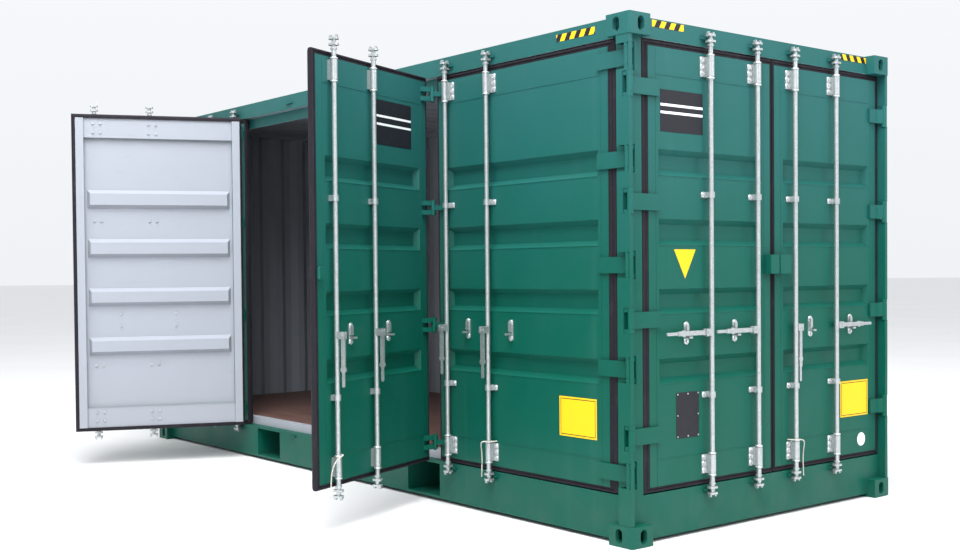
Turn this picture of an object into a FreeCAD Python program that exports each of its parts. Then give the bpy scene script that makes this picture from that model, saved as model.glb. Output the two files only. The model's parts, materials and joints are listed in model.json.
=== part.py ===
import FreeCAD, Part
import math
import os

V = FreeCAD.Vector

# ---------------------------------------------------------------------------
# Driving dimensions, in millimetres.
# Origin: bottom centre of the box. +X is the end with the double doors,
# -Y is the side with the folding doors, +Z is up.
# ---------------------------------------------------------------------------
LENGTH, WIDTH, HEIGHT = 6058.0, 2438.0, 2896.0
HALF_L, HALF_W = LENGTH / 2, WIDTH / 2

# Corner castings
CAST_L, CAST_W, CAST_H = 178.0, 162.0, 118.0
CAST_SKIN, CAST_INNER_SKIN, CAST_PLATE = 28.0, 12.0, 28.0
SLOT_LONG, SLOT_WIDE = 124.0, 63.5
SLOT_PITCH_X, SLOT_PITCH_Y = 5853.0, 2259.0
EYE_TALL, EYE_WIDE = 80.0, 51.0
CAST_EDGE = 14.0                    # radius of the outer upright edge

# Planes that the frame is set out from
PAINT_GAP = 3.0                     # posts and rails sit this far inside the castings
END_FACE = HALF_L - 60.0            # outer face of the end door leaves, sill and header
SIDE_FACE = -(HALF_W - 55.0)        # outer face of the side leaves, sill and header
STOP_SETBACK = 55.0                 # face to door stop
STOP_DEPTH = 48.0                   # depth of the stop section behind that
STOP_PLATE = 12.0
SILL_BOTTOM, SILL_TOP = 22.0, 270.0
HEADER_BOTTOM, RAIL_TOP = 2779.0, 2890.0
STOP_TOP = 2700.0                   # lower edge of the header's stop plate
FLOOR_TOP, FLOOR_THICK = 332.0, 28.0
WALL = 6.0                          # wall of posts, sills and headers
LIGHT_RAIL = 60.0                   # square rails on the two plain sides
INNER_X = END_FACE - STOP_SETBACK - STOP_DEPTH        # inner face of the door-end members
INNER_Y = SIDE_FACE + STOP_SETBACK + STOP_DEPTH       # inner face of the door-side members
REAR_RAIL_Y = HALF_W - PAINT_GAP - LIGHT_RAIL
FAR_RAIL_X = -(HALF_L - PAINT_GAP - LIGHT_RAIL)
CAST_IN_X, CAST_IN_Y = HALF_L - CAST_L, HALF_W - CAST_W

# Under the floor
FORK_CENTRES = (-1054.0, 1054.0)
FORK_WIDE, FORK_BOTTOM, FORK_TOP = 360.0, 38.0, 250.0
CROSS_TALL, CROSS_WIDE, CROSS_WALL = 122.0, 45.0, 5.0
CROSS_COUNT = 18
CROSS_FIRST_GAP, CROSS_LAST_GAP = 120.0, 160.0

# Post lines in plan
DOOR_LEG = 26.0                     # thickness of the outer leg beside each end hinge
DOOR_LEG_REACH = HALF_L - 9.0
NEAR_POST_Y = -1069.0               # end face of the wide near post
NEAR_STOP_Y = -985.0
NEAR_POST_X = 2923.0                # side face of the near post ends here
NEAR_GASKET_X = 2873.0
NEAR_STOP_X = 2780.0
REAR_STOP_Y = 1057.0
FAR_POST_X = -2933.0
FAR_STOP_X = -2845.0
FAR_REAR_POST_X, FAR_REAR_POST_Y = -2940.0, 1130.0

# Corrugated sheets
SHEET = 2.5
SIDE_WAVE_DEPTH, SIDE_WAVES = 36.0, 21
END_WAVE_DEPTH, END_WAVES = 44.0, 9
ROOF_WAVE_DEPTH, ROOF_WAVES = 20.0, 27

# Door leaves: every leaf has the same height
LEAF_BOTTOM, LEAF_TOP = 305.0, 2741.0
LEAF_DEPTH = 50.0
STILE = 60.0
RAIL_HEIGHT, RAIL_DEPTH = 150.0, 32.0
PANEL_SHEET = 2.5
STILE_WALL = 4.0
RECESS_DEPTH, RECESS_SLOPE, RECESS_END_SLOPE = 36.0, 30.0, 24.0
RECESS_BANDS = [(875.0, 1014.0), (1263.0, 1402.0), (1647.0, 1792.0), (2034.0, 2178.0)]
RECESS_MARGIN = 22.0                # flat strip between a stile and a recess
GASKET_FRONT, GASKET_BACK = 4.0, 44.0
GASKET_BELOW, GASKET_ABOVE = 30.0, 32.0

# Where leaves meet, and how far the folding ones stand open
END_MIDDLE, END_GAP_HALF = 67.0, 22.0
FOLD_NEAR_X, FOLD_FAR_X = 1237.0, -1380.0
FOLD_PIN_OUT, FOLD_GAP_HALF = 38.0, 22.0
NEAR_LEAF_OPEN, FAR_LEAF_OPEN = 113.0, -112.5      # degrees about the folding pins

# Hinges
PIN_R, PIN_CLEAR, KNUCKLE_R = 9.0, 0.6, 18.0
BLADE_THICK, BLADE_TALL, LUG_TALL = 12.0, 90.0, 24.0
KNUCKLE_GAP = 1.0
PIN_INSET = 21.0                    # pin line in from the overall length and width
END_PIN_X, END_PIN_Y = HALF_L - PIN_INSET, HALF_W - PIN_INSET
POST_PIN_X, POST_PIN_Y = 2990.0, -(HALF_W - PIN_INSET)
HINGE_SLOT = BLADE_TALL / 2 + KNUCKLE_GAP + LUG_TALL     # half height of a slot in a post
HINGE_SLOT_WIDE = 60.0
POST_SLOT_PAST_PIN = 24.0
STRAP_REACH, STRAP_THICK, STRAP_PAD_EDGE = 76.0, 12.0, 6.0
FOLD_STRAP_REACH = 60.0
PIN_PAST_FOLD = 8.0                 # how far a folding pin stands out of its knuckles
END_HINGE_Z = [598.0, 1235.0, 1881.0, 2510.0]
POST_HINGE_Z = [395.0, 968.0, 1537.0, 2112.0, 2660.0]
FOLD_HINGE_Z = [400.0, 1165.0, 1925.0, 2660.0]

# Lock gear
ROD_R, ROD_CLEAR, ROD_OUT = 14.0, 0.8, 36.0
ROD_BOTTOM, ROD_TOP = 218.0, 2848.0
CAM_R, CAM_PLATE, CAM_GAP = 30.0, 12.0, 22.0
CAM_HALF_THICK, CAM_NECK_R = 22.0, 12.0
PRONG_NEAR, PRONG_FAR, PRONG_HALF_THICK, PRONG_LONG = 14.0, 26.0, 8.0, 14.0
COLLAR_R, COLLAR_TALL, COLLAR_GAP = 19.0, 10.0, 12.0
SLEEVE_R = 21.0
SLEEVE_BASE_HALF = 16.0
FLANGE_THICK, FLANGE_ROOT = 7.0, 12.0
BRACKET_FLANGE, GUIDE_FLANGE = 34.0, 28.0
KEEPER_THICK, KEEPER_WIDE, KEEPER_OUT = 10.0, 90.0, 16.0
BRACKET_LOW, BRACKET_HIGH = (338.0, 448.0), (2607.0, 2722.0)
GUIDE_Z = [775.0, 1918.0]
GUIDE_TALL = 34.0
HANDLE_Z, HANDLE_TALL, HANDLE_THICK = 1150.0, 26.0, 12.0
LONG_HANDLE, SHORT_HANDLE = 335.0, 298.0
GRIP_LENGTH, GRIP_R = 90.0, 9.0
PIVOT_OUT, PIVOT_R = 44.0, 7.0
CLEVIS_HALF_TALL, CLEVIS_HALF_THICK = 21.0, 16.0
CLEVIS_NEAR, CLEVIS_THROAT, CLEVIS_PAST_PIN, CLEVIS_CLEAR = 8.0, 19.0, 15.0, 0.8
PIVOT_CLEAR, PIVOT_HEAD = 0.6, 4.0
EYE_OUT, EYE_BOSS_R = 196.0, 19.0      # seal eye, measured from the pivot
CRADLE_OUT = 140.0                  # handle cradle, measured from the pivot
CRADLE_HALF_WIDE, CRADLE_HALF_TALL = 17.0, 58.0
LEDGE_HALF_WIDE, LEDGE_THICK, LEDGE_PAST_ROD, LEDGE_DROP = 14.0, 11.0, 8.0, 5.0
COVER_HALF_WIDE, COVER_OUT, COVER_LOW, COVER_HIGH = 11.0, 20.0, -8.0, 46.0

# Lock cover over the meeting end leaves
LOCKBOX_Z = (1481.0, 1595.0)
LOCKBOX_HALVES = {"end_left": (-18.0, 61.0), "end_right": (73.0, 176.0)}
LOCKBOX_OUT, LOCKBOX_WALL = 58.0, 5.0

# Tie-back ropes: a limp rope round a lock rod, above its lower bracket. Each point of the
# route is (to the side of the rod that has no flange, out from the leaf, height).
ROPE_R = 4.0
ROPE_ROUTE = [(-36.0, 0.0, 460.0), (-34.0, 46.0, 461.0), (8.0, 74.0, 463.0), (52.0, 60.0, 443.0),
              (67.0, 38.0, 384.0), (71.0, 33.0, 306.0), (74.0, 36.0, 230.0)]
ARC_SHARE = 0.45                    # share of the shorter run that an arc takes up
ROPES = [("end_right", 0), ("side_leaf_1", 1), ("side_leaf_2", 0)]    # leaf and rod


# ---------------------------------------------------------------------------
# Small shape helpers
# ---------------------------------------------------------------------------
def box(x0, x1, y0, y1, z0, z1):
    """Block between two corners given in any order."""
    low = V(min(x0, x1), min(y0, y1), min(z0, z1))
    return Part.makeBox(abs(x1 - x0), abs(y1 - y0), abs(z1 - z0), low)


def cyl(x, y, z0, z1, r):
    """Upright round bar."""
    return Part.makeCylinder(r, z1 - z0, V(x, y, z0))


def cyl_y(x, y0, y1, z, r):
    """Round bar lying along Y."""
    return Part.makeCylinder(r, y1 - y0, V(x, y0, z), V(0, 1, 0))


def plan_face(points, z):
    """Flat face at height z from a list of (x, y) corners."""
    ring = [V(x, y, z) for x, y in points]
    return Part.Face(Part.makePolygon(ring + ring[:1]))


def prism(points, z0, z1):
    """Upright prism over a plan outline."""
    return plan_face(points, z0).extrude(V(0, 0, z1 - z0))


def hollow_prism(points, z0, z1, wall):
    """Upright prism with an even wall, open at both ends."""
    core = plan_face(points, z0).makeOffset2D(-wall, 2)
    return prism(points, z0, z1).cut(core.extrude(V(0, 0, z1 - z0)))


def hollow_box_along(axis, x0, x1, y0, y1, z0, z1, wall):
    """Rectangular tube that is open at both ends along one axis."""
    grow = {"x": (0, wall, wall), "y": (wall, 0, wall), "z": (wall, wall, 0)}[axis]
    gx, gy, gz = grow
    core = box(x0 + gx, x1 - gx, y0 + gy, y1 - gy, z0 + gz, z1 - gz)
    return box(x0, x1, y0, y1, z0, z1).cut(core)


def fuse_all(shapes):
    """One solid from pieces that touch."""
    joined = shapes[0].multiFuse(shapes[1:]) if len(shapes) > 1 else shapes[0]
    return joined.removeSplitter()


def group(shapes):
    """Separate solids that share a node."""
    solids = []
    for shape in shapes:
        solids.extend(shape.Solids)
    return Part.makeCompound(solids)


def turned(shape, x, y, degrees):
    """Copy of a shape turned about an upright line."""
    copy = shape.copy()
    copy.rotate(V(x, y, 0), V(0, 0, 1), degrees)
    return copy


def moved(shape, x, y, z):
    """Copy of a shape shifted by a vector."""
    copy = shape.copy()
    copy.translate(V(x, y, z))
    return copy


def mirror_x(shape):
    """Copy of a shape mirrored left to right about x = 0."""
    return shape.mirror(V(0, 0, 0), V(1, 0, 0))


def oval(length, width, depth):
    """Slot cutter lying in the XY plane, long along X, centred on the origin."""
    r = width / 2
    half = length / 2 - r
    ends = [Part.makeCylinder(r, depth, V(s * half, 0, -depth / 2)) for s in (-1, 1)]
    return fuse_all([box(-half, half, -r, r, -depth / 2, depth / 2)] + ends)


# ---------------------------------------------------------------------------
# Corner castings
# ---------------------------------------------------------------------------
def casting(sx, sy, bottom):
    """One hollow casting with its twistlock slot and its two lashing eyes."""
    z0 = 0.0 if bottom else HEIGHT - CAST_H
    z1 = z0 + CAST_H
    x_out, y_out = sx * HALF_L, sy * HALF_W
    x_in, y_in = x_out - sx * CAST_L, y_out - sy * CAST_W
    body = box(x_out, x_in, y_out, y_in, z0, z1)
    upright = [e for e in body.Edges if abs(e.Vertexes[0].Z - e.Vertexes[1].Z) > 1]
    outer = [e for e in upright if abs(e.Vertexes[0].X - x_out) < 1 and abs(e.Vertexes[0].Y - y_out) < 1]
    body = body.makeFillet(CAST_EDGE, outer)
    cavity = box(x_out - sx * CAST_SKIN, x_in + sx * CAST_INNER_SKIN,
                 y_out - sy * CAST_SKIN, y_in + sy * CAST_INNER_SKIN,
                 z0 + CAST_PLATE, z1 - CAST_PLATE)
    slot = oval(SLOT_LONG, SLOT_WIDE, 2 * CAST_PLATE + 4)
    slot_z = z0 if bottom else z1
    slot = moved(slot, sx * SLOT_PITCH_X / 2, sy * SLOT_PITCH_Y / 2, slot_z)
    mid = (z0 + z1) / 2
    eye = oval(EYE_TALL, EYE_WIDE, 2 * CAST_SKIN + 4)
    end_eye = eye.copy()
    end_eye.rotate(V(0, 0, 0), V(0, 1, 0), 90)
    side_eye = end_eye.copy()
    side_eye.rotate(V(0, 0, 0), V(0, 0, 1), 90)
    end_eye = moved(end_eye, x_out, sy * SLOT_PITCH_Y / 2, mid)
    side_eye = moved(side_eye, sx * SLOT_PITCH_X / 2, y_out, mid)
    return body.cut(cavity).cut(slot).cut(end_eye).cut(side_eye)


def castings(bottom):
    return group([casting(sx, sy, bottom) for sx in (-1, 1) for sy in (-1, 1)])


# ---------------------------------------------------------------------------
# Hinge lugs that stand on the posts
# ---------------------------------------------------------------------------
def pin_with_lugs(x, y, z, root):
    """Two lugs and the pin between them; root is a plan outline reaching the post."""
    half = BLADE_TALL / 2 + KNUCKLE_GAP
    pieces = [cyl(x, y, z - half - LUG_TALL / 2, z + half + LUG_TALL / 2, PIN_R)]
    for low in (z - half - LUG_TALL, z + half):
        pieces.append(cyl(x, y, low, low + LUG_TALL, KNUCKLE_R))
        pieces.append(prism(root, low, low + LUG_TALL))
    return fuse_all(pieces)



def near_post_outline():
    """Plan of the wide post: an outer leg by the end hinges and a stop for each opening."""
    stop_x = END_FACE - STOP_SETBACK
    stop_y = SIDE_FACE + STOP_SETBACK
    outer_y = -(HALF_W - PAINT_GAP)
    return [
        (DOOR_LEG_REACH, outer_y), (DOOR_LEG_REACH, outer_y + DOOR_LEG),
        (END_FACE, outer_y + DOOR_LEG), (END_FACE, NEAR_POST_Y),
        (stop_x, NEAR_POST_Y), (stop_x, NEAR_STOP_Y),
        (stop_x - STOP_DEPTH, NEAR_STOP_Y), (stop_x - STOP_DEPTH, stop_y + STOP_DEPTH),
        (NEAR_STOP_X, stop_y + STOP_DEPTH), (NEAR_STOP_X, stop_y),
        (NEAR_GASKET_X, stop_y), (NEAR_GASKET_X, SIDE_FACE),
        (NEAR_POST_X, SIDE_FACE), (NEAR_POST_X, outer_y)]


def near_post():
    """Wide corner post between the end doors and the side doors."""
    outer_y = -(HALF_W - PAINT_GAP)
    post = hollow_prism(near_post_outline(), CAST_H, HEIGHT - CAST_H, WALL)
    root = [(END_PIN_X - 4, -END_PIN_Y - 14), (END_PIN_X + 4, -END_PIN_Y + 12),
            (END_FACE - WALL, -END_PIN_Y + 30), (END_FACE - WALL, -END_PIN_Y - 14)]
    lugs = []
    for z in END_HINGE_Z:
        post = post.cut(box(END_FACE, HALF_L, -HALF_W, -HALF_W + HINGE_SLOT_WIDE,
                           z - HINGE_SLOT, z + HINGE_SLOT))
        plate = box(END_FACE - WALL, END_FACE, outer_y, outer_y + DOOR_LEG + WALL,
                    z - HINGE_SLOT - WALL, z + HINGE_SLOT + WALL)
        lugs += [plate, pin_with_lugs(END_PIN_X, -END_PIN_Y, z, root)]
    side_root = [(POST_PIN_X + 14, POST_PIN_Y - 8), (POST_PIN_X + 14, SIDE_FACE + 6),
                 (POST_PIN_X - 18, SIDE_FACE + 6), (POST_PIN_X - 18, POST_PIN_Y)]
    slot_end = POST_PIN_X + POST_SLOT_PAST_PIN
    for z in POST_HINGE_Z:
        post = post.cut(box(NEAR_GASKET_X, slot_end, -HALF_W, SIDE_FACE, z - HINGE_SLOT, z + HINGE_SLOT))
        plate = box(NEAR_GASKET_X, slot_end, SIDE_FACE, SIDE_FACE + WALL,
                    z - HINGE_SLOT - WALL, z + HINGE_SLOT + WALL)
        lugs += [plate, pin_with_lugs(POST_PIN_X, POST_PIN_Y, z, side_root)]
    return fuse_all([post] + lugs)


def rear_door_post():
    """Narrow corner post on the plain side of the end doors."""
    stop_x = END_FACE - STOP_SETBACK
    outer_y = HALF_W - PAINT_GAP
    channel = hollow_box_along("z", stop_x - STOP_DEPTH, stop_x, REAR_STOP_Y, outer_y,
                               CAST_H, HEIGHT - CAST_H, WALL)
    leg = box(stop_x - WALL, DOOR_LEG_REACH, outer_y - DOOR_LEG, outer_y, CAST_H, HEIGHT - CAST_H)
    root = [(END_PIN_X - 4, END_PIN_Y + 14), (END_PIN_X + 4, END_PIN_Y - 12),
            (END_FACE - 10, END_PIN_Y - 4), (END_FACE - 10, END_PIN_Y + 14)]
    lugs = []
    for z in END_HINGE_Z:
        leg = leg.cut(box(END_FACE, HALF_L, HALF_W - HINGE_SLOT_WIDE, HALF_W,
                          z - HINGE_SLOT, z + HINGE_SLOT))
        lugs.append(pin_with_lugs(END_PIN_X, END_PIN_Y, z, root))
    return fuse_all([channel, leg] + lugs)


def closed_end_outlines():
    """Plans of the two posts at the closed end; the one on the door side has a stop leg."""
    stop_y = SIDE_FACE + STOP_SETBACK
    outer_y = HALF_W - PAINT_GAP
    outer_x = -(HALF_L - PAINT_GAP)
    door_side = [(outer_x, -outer_y), (FAR_POST_X, -outer_y), (FAR_POST_X, stop_y),
                 (FAR_STOP_X, stop_y), (FAR_STOP_X, stop_y + STOP_DEPTH), (outer_x, stop_y + STOP_DEPTH)]
    plain = [(outer_x, FAR_REAR_POST_Y), (FAR_REAR_POST_X, FAR_REAR_POST_Y),
             (FAR_REAR_POST_X, outer_y), (outer_x, outer_y)]
    return [door_side, plain]


def closed_end_posts():
    return group([hollow_prism(ring, CAST_H, HEIGHT - CAST_H, WALL) for ring in closed_end_outlines()])


def post_envelopes():
    """The posts as filled shapes, used to trim whatever runs up to them."""
    stop_x = END_FACE - STOP_SETBACK
    rings = [near_post_outline()] + closed_end_outlines()
    filled = [prism(ring, CAST_H, HEIGHT - CAST_H) for ring in rings]
    outer_y = HALF_W - PAINT_GAP
    filled.append(box(stop_x - STOP_DEPTH, stop_x, REAR_STOP_Y, outer_y, CAST_H, HEIGHT - CAST_H))
    filled.append(box(stop_x - WALL, DOOR_LEG_REACH, outer_y - DOOR_LEG, outer_y, CAST_H, HEIGHT - CAST_H))
    return group(filled)


# ---------------------------------------------------------------------------
# Rails, sills and headers
# ---------------------------------------------------------------------------
def door_header():
    stop_x = END_FACE - STOP_SETBACK
    beam = hollow_box_along("y", INNER_X, END_FACE, -CAST_IN_Y, CAST_IN_Y, HEADER_BOTTOM, RAIL_TOP, WALL)
    stop = box(stop_x - STOP_PLATE, stop_x, NEAR_STOP_Y, REAR_STOP_Y, STOP_TOP, HEADER_BOTTOM + WALL)
    return fuse_all([beam, stop])


def side_header():
    stop_y = SIDE_FACE + STOP_SETBACK
    beam = hollow_box_along("x", -CAST_IN_X, CAST_IN_X, SIDE_FACE, INNER_Y, HEADER_BOTTOM, RAIL_TOP, WALL)
    stop = box(FAR_STOP_X, NEAR_STOP_X, stop_y, stop_y + STOP_PLATE, STOP_TOP, HEADER_BOTTOM + WALL)
    return fuse_all([beam, stop])


def door_sill(posts):
    stop_x = END_FACE - STOP_SETBACK
    beam = hollow_box_along("y", INNER_X, END_FACE, -CAST_IN_Y, CAST_IN_Y, SILL_BOTTOM, SILL_TOP, WALL)
    pieces = [beam,
              box(stop_x - STOP_PLATE, stop_x, NEAR_STOP_Y, REAR_STOP_Y, SILL_TOP - WALL, FLOOR_TOP),
              box(INNER_X, stop_x, NEAR_STOP_Y, REAR_STOP_Y, FLOOR_TOP - WALL, FLOOR_TOP),
              box(stop_x, END_FACE, CAST_IN_Y - WALL, HALF_W - PAINT_GAP - DOOR_LEG, CAST_H, SILL_TOP),
              box(stop_x, END_FACE, NEAR_POST_Y, -CAST_IN_Y + WALL, CAST_H, SILL_TOP)]
    return fuse_all(pieces).cut(posts)


def fork_tube(x, grow):
    """Fork tunnel through the whole width; grow 0 gives the hole, more gives its outside."""
    y1 = HALF_W - PAINT_GAP
    return box(x - FORK_WIDE / 2 - grow, x + FORK_WIDE / 2 + grow, SIDE_FACE, y1,
               FORK_BOTTOM - grow, FORK_TOP + grow)


def fork_pockets():
    return group([fork_tube(x, WALL).cut(fork_tube(x, 0)) for x in FORK_CENTRES])


def fork_pocket_straps():
    """Flat bars that carry the two long sills over and under each fork tunnel."""
    half = FORK_WIDE / 2 + WALL
    bars = []
    for x in FORK_CENTRES:
        for y0, y1 in ((SIDE_FACE, INNER_Y), (REAR_RAIL_Y, HALF_W - PAINT_GAP)):
            for z0, z1 in ((SILL_BOTTOM, FORK_BOTTOM - WALL), (FORK_TOP + WALL, SILL_TOP)):
                bars.append(box(x - half, x + half, y0, y1, z0, z1))
    return group(bars)


def sill_lengths(y0, y1):
    """The three lengths of a long sill, which stop at the fork tunnels."""
    half = FORK_WIDE / 2 + WALL
    ends = [-CAST_IN_X]
    for x in FORK_CENTRES:
        ends += [x - half, x + half]
    ends.append(CAST_IN_X)
    return [hollow_box_along("x", x0, x1, y0, y1, SILL_BOTTOM, SILL_TOP, WALL)
            for x0, x1 in zip(ends[::2], ends[1::2])]


def side_sill(posts):
    return group([beam.cut(posts) for beam in sill_lengths(SIDE_FACE, INNER_Y)])


def side_sill_gussets(posts):
    """Blocks that close the corner between a casting, the post on it and the side sill."""
    stop_y = SIDE_FACE + STOP_SETBACK
    blocks = [box(CAST_IN_X, NEAR_GASKET_X, SIDE_FACE, stop_y, CAST_H, SILL_TOP),
              box(FAR_POST_X, -CAST_IN_X, SIDE_FACE, stop_y, CAST_H, SILL_TOP)]
    return group([block.cut(posts) for block in blocks])


def side_threshold(posts):
    """Angle along the side doorway: the seals close on its upright, the floor ends at its top."""
    stop_y = SIDE_FACE + STOP_SETBACK
    upright = box(FAR_STOP_X, NEAR_STOP_X, stop_y, stop_y + STOP_PLATE, SILL_TOP, FLOOR_TOP)
    top = box(FAR_STOP_X, NEAR_STOP_X, stop_y, INNER_Y, FLOOR_TOP - WALL, FLOOR_TOP)
    return fuse_all([upright, top]).cut(posts)


def rear_bottom_rail():
    return group(sill_lengths(REAR_RAIL_Y, HALF_W - PAINT_GAP))


def rear_top_rail():
    return hollow_box_along("x", -CAST_IN_X, CAST_IN_X, REAR_RAIL_Y, HALF_W - PAINT_GAP,
                            RAIL_TOP - LIGHT_RAIL, RAIL_TOP, WALL)


def closed_end_sill():
    return hollow_box_along("y", -(HALF_L - PAINT_GAP), FAR_RAIL_X, -CAST_IN_Y, CAST_IN_Y,
                            SILL_BOTTOM, SILL_TOP, WALL)


def closed_end_header():
    return hollow_box_along("y", -(HALF_L - PAINT_GAP), FAR_RAIL_X, -CAST_IN_Y, CAST_IN_Y,
                            RAIL_TOP - LIGHT_RAIL, RAIL_TOP, WALL)


# ---------------------------------------------------------------------------
# Floor, walls and roof
# ---------------------------------------------------------------------------
def crossmembers():
    """Channel joists under the floor, left out where the fork tunnels run."""
    top = FLOOR_TOP - FLOOR_THICK
    low = top - CROSS_TALL
    first, last = FAR_RAIL_X + CROSS_FIRST_GAP, INNER_X - CROSS_LAST_GAP
    joists = []
    for i in range(CROSS_COUNT):
        x = first + (last - first) * i / (CROSS_COUNT - 1)
        if any(abs(x - f) < FORK_WIDE / 2 + CROSS_WIDE + WALL for f in FORK_CENTRES):
            continue
        web = box(x, x + CROSS_WALL, INNER_Y, REAR_RAIL_Y, low, top)
        foot = box(x, x + CROSS_WIDE, INNER_Y, REAR_RAIL_Y, low, low + CROSS_WALL)
        head = box(x, x + CROSS_WIDE, INNER_Y, REAR_RAIL_Y, top - CROSS_WALL, top)
        joists.append(fuse_all([web, foot, head]))
    return group(joists)


def floor_deck(posts):
    deck = box(FAR_RAIL_X, INNER_X, INNER_Y, REAR_RAIL_Y, FLOOR_TOP - FLOOR_THICK, FLOOR_TOP)
    return deck.cut(posts)


def clear_of_top_castings(sheet):
    """Notch a sheet where it would run into the top corner castings."""
    for sx in (-1, 1):
        for sy in (-1, 1):
            corner = box(sx * HALF_L, sx * CAST_IN_X, sy * HALF_W, sy * CAST_IN_Y, HEIGHT - CAST_H, HEIGHT)
            sheet = sheet.cut(corner)
    return sheet


def wave_sheet(length, waves, depth):
    """Outline of a trapezoid-corrugated sheet along +X, valleys at y = depth."""
    pitch = length / waves
    flat, web = 0.26 * pitch, 0.24 * pitch
    face = [(0.0, 0.0)]
    for i in range(waves):
        start = i * pitch
        face += [(start + flat / 2, 0.0), (start + flat / 2 + web, depth),
                 (start + flat * 1.5 + web, depth), (start + flat * 1.5 + 2 * web, 0.0)]
    face.append((length, 0.0))
    back = [(x, y + SHEET) for x, y in reversed(face)]
    return face + back


def rear_side_wall():
    length = INNER_X - FAR_REAR_POST_X
    ring = wave_sheet(length, SIDE_WAVES, -SIDE_WAVE_DEPTH)
    sheet = prism(ring, SILL_TOP, RAIL_TOP - LIGHT_RAIL)
    return clear_of_top_castings(moved(sheet, FAR_REAR_POST_X, HALF_W - PAINT_GAP - 12, 0))


def closed_end_wall():
    width = FAR_REAR_POST_Y - INNER_Y
    ring = wave_sheet(width, END_WAVES, END_WAVE_DEPTH)
    sheet = turned(prism(ring, SILL_TOP, RAIL_TOP - LIGHT_RAIL), 0, 0, -90)
    return clear_of_top_castings(moved(sheet, -(HALF_L - PAINT_GAP) + 8, FAR_REAR_POST_Y, 0))


def roof():
    length = INNER_X - FAR_RAIL_X
    ring = wave_sheet(length, ROOF_WAVES, -ROOF_WAVE_DEPTH)
    width = REAR_RAIL_Y - INNER_Y
    sheet = prism(ring, 0, width)
    sheet.rotate(V(0, 0, 0), V(1, 0, 0), 90)
    sheet = moved(sheet, FAR_RAIL_X, REAR_RAIL_Y, RAIL_TOP - SHEET)
    return clear_of_top_castings(sheet)


# ---------------------------------------------------------------------------
# Door leaves. A leaf is drawn as seen from outside: x to the right, y into the
# box with y = 0 on the outer face, z up. `at_end` and `at_side` place it.
# ---------------------------------------------------------------------------
def at_end(shape):
    copy = shape.copy()
    copy.rotate(V(0, 0, 0), V(0, 0, 1), 90)
    copy.translate(V(END_FACE, 0, 0))
    return copy


def at_side(shape):
    return moved(shape, 0, SIDE_FACE, 0)


def recess(x0, x1, z0, z1, depth, slope_x, slope_z):
    """Tapered block pressed into the sheet, widest at the outer face."""
    mouth = [V(x0, 0, z0), V(x1, 0, z0), V(x1, 0, z1), V(x0, 0, z1)]
    bed = [V(x0 + slope_x, depth, z0 + slope_z), V(x1 - slope_x, depth, z0 + slope_z),
           V(x1 - slope_x, depth, z1 - slope_z), V(x0 + slope_x, depth, z1 - slope_z)]
    rings = [Part.makePolygon(r + r[:1]) for r in (mouth, bed)]
    return Part.makeLoft(rings, True, True)


def leaf_panel(x0, x1):
    """Frame of two tubular stiles and two shallower rails, closed by a pressed sheet."""
    stiles = [hollow_box_along("z", a, b, 0, LEAF_DEPTH, LEAF_BOTTOM, LEAF_TOP, STILE_WALL)
              for a, b in ((x0, x0 + STILE), (x1 - STILE, x1))]
    inner0, inner1 = x0 + STILE, x1 - STILE
    rails = [box(inner0, inner1, 0, RAIL_DEPTH, a, b)
             for a, b in ((LEAF_BOTTOM, LEAF_BOTTOM + RAIL_HEIGHT), (LEAF_TOP - RAIL_HEIGHT, LEAF_TOP))]
    sheet = box(inner0, inner1, 0, PANEL_SHEET, LEAF_BOTTOM + RAIL_HEIGHT, LEAF_TOP - RAIL_HEIGHT)
    pans, hollows = [], []
    for z0, z1 in RECESS_BANDS:
        a, b = inner0 + RECESS_MARGIN, inner1 - RECESS_MARGIN
        t = PANEL_SHEET
        pans.append(recess(a - t, b + t, z0 - t, z1 + t, RECESS_DEPTH + t, RECESS_END_SLOPE, RECESS_SLOPE))
        hollows.append(recess(a, b, z0, z1, RECESS_DEPTH, RECESS_END_SLOPE, RECESS_SLOPE))
    sheet = fuse_all([sheet] + pans)
    for hollow in hollows:
        sheet = sheet.cut(hollow)
    return fuse_all(stiles + rails + [sheet])


def leaf_gasket(x0, x1, left, right):
    """Rubber seal that runs round the edge of a leaf; left and right are its widths."""
    outer = box(x0 - left, x1 + right, GASKET_FRONT, GASKET_BACK,
                LEAF_BOTTOM - GASKET_BELOW, LEAF_TOP + GASKET_ABOVE)
    return outer.cut(box(x0, x1, GASKET_FRONT, GASKET_BACK, LEAF_BOTTOM, LEAF_TOP))


def end_blade(edge, pin, z, side):
    """Hinge strap from the pin to the leaf; side is -1 for a left hinge, +1 for a right one."""
    pin_y = END_FACE - END_PIN_X
    front, back = -18.0, -18.0 + STRAP_THICK
    half = BLADE_TALL / 2
    tail = edge - side * STRAP_REACH
    ring = [(pin + side * 6, pin_y - 14), (pin - side * 18, pin_y - 2), (pin - side * 44, front),
            (tail, front), (tail, back), (pin - side * 26, back), (pin, pin_y + 16)]
    strap = prism(ring, z - half, z + half)
    pad = box(edge - side * 8, tail + side * 4, back, 0,
              z - half + STRAP_PAD_EDGE, z + half - STRAP_PAD_EDGE)
    knuckle = cyl(pin, pin_y, z - half, z + half, KNUCKLE_R)
    bore = cyl(pin, pin_y, z - half, z + half, PIN_R + PIN_CLEAR)
    return fuse_all([strap, pad, knuckle]).cut(bore)


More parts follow.
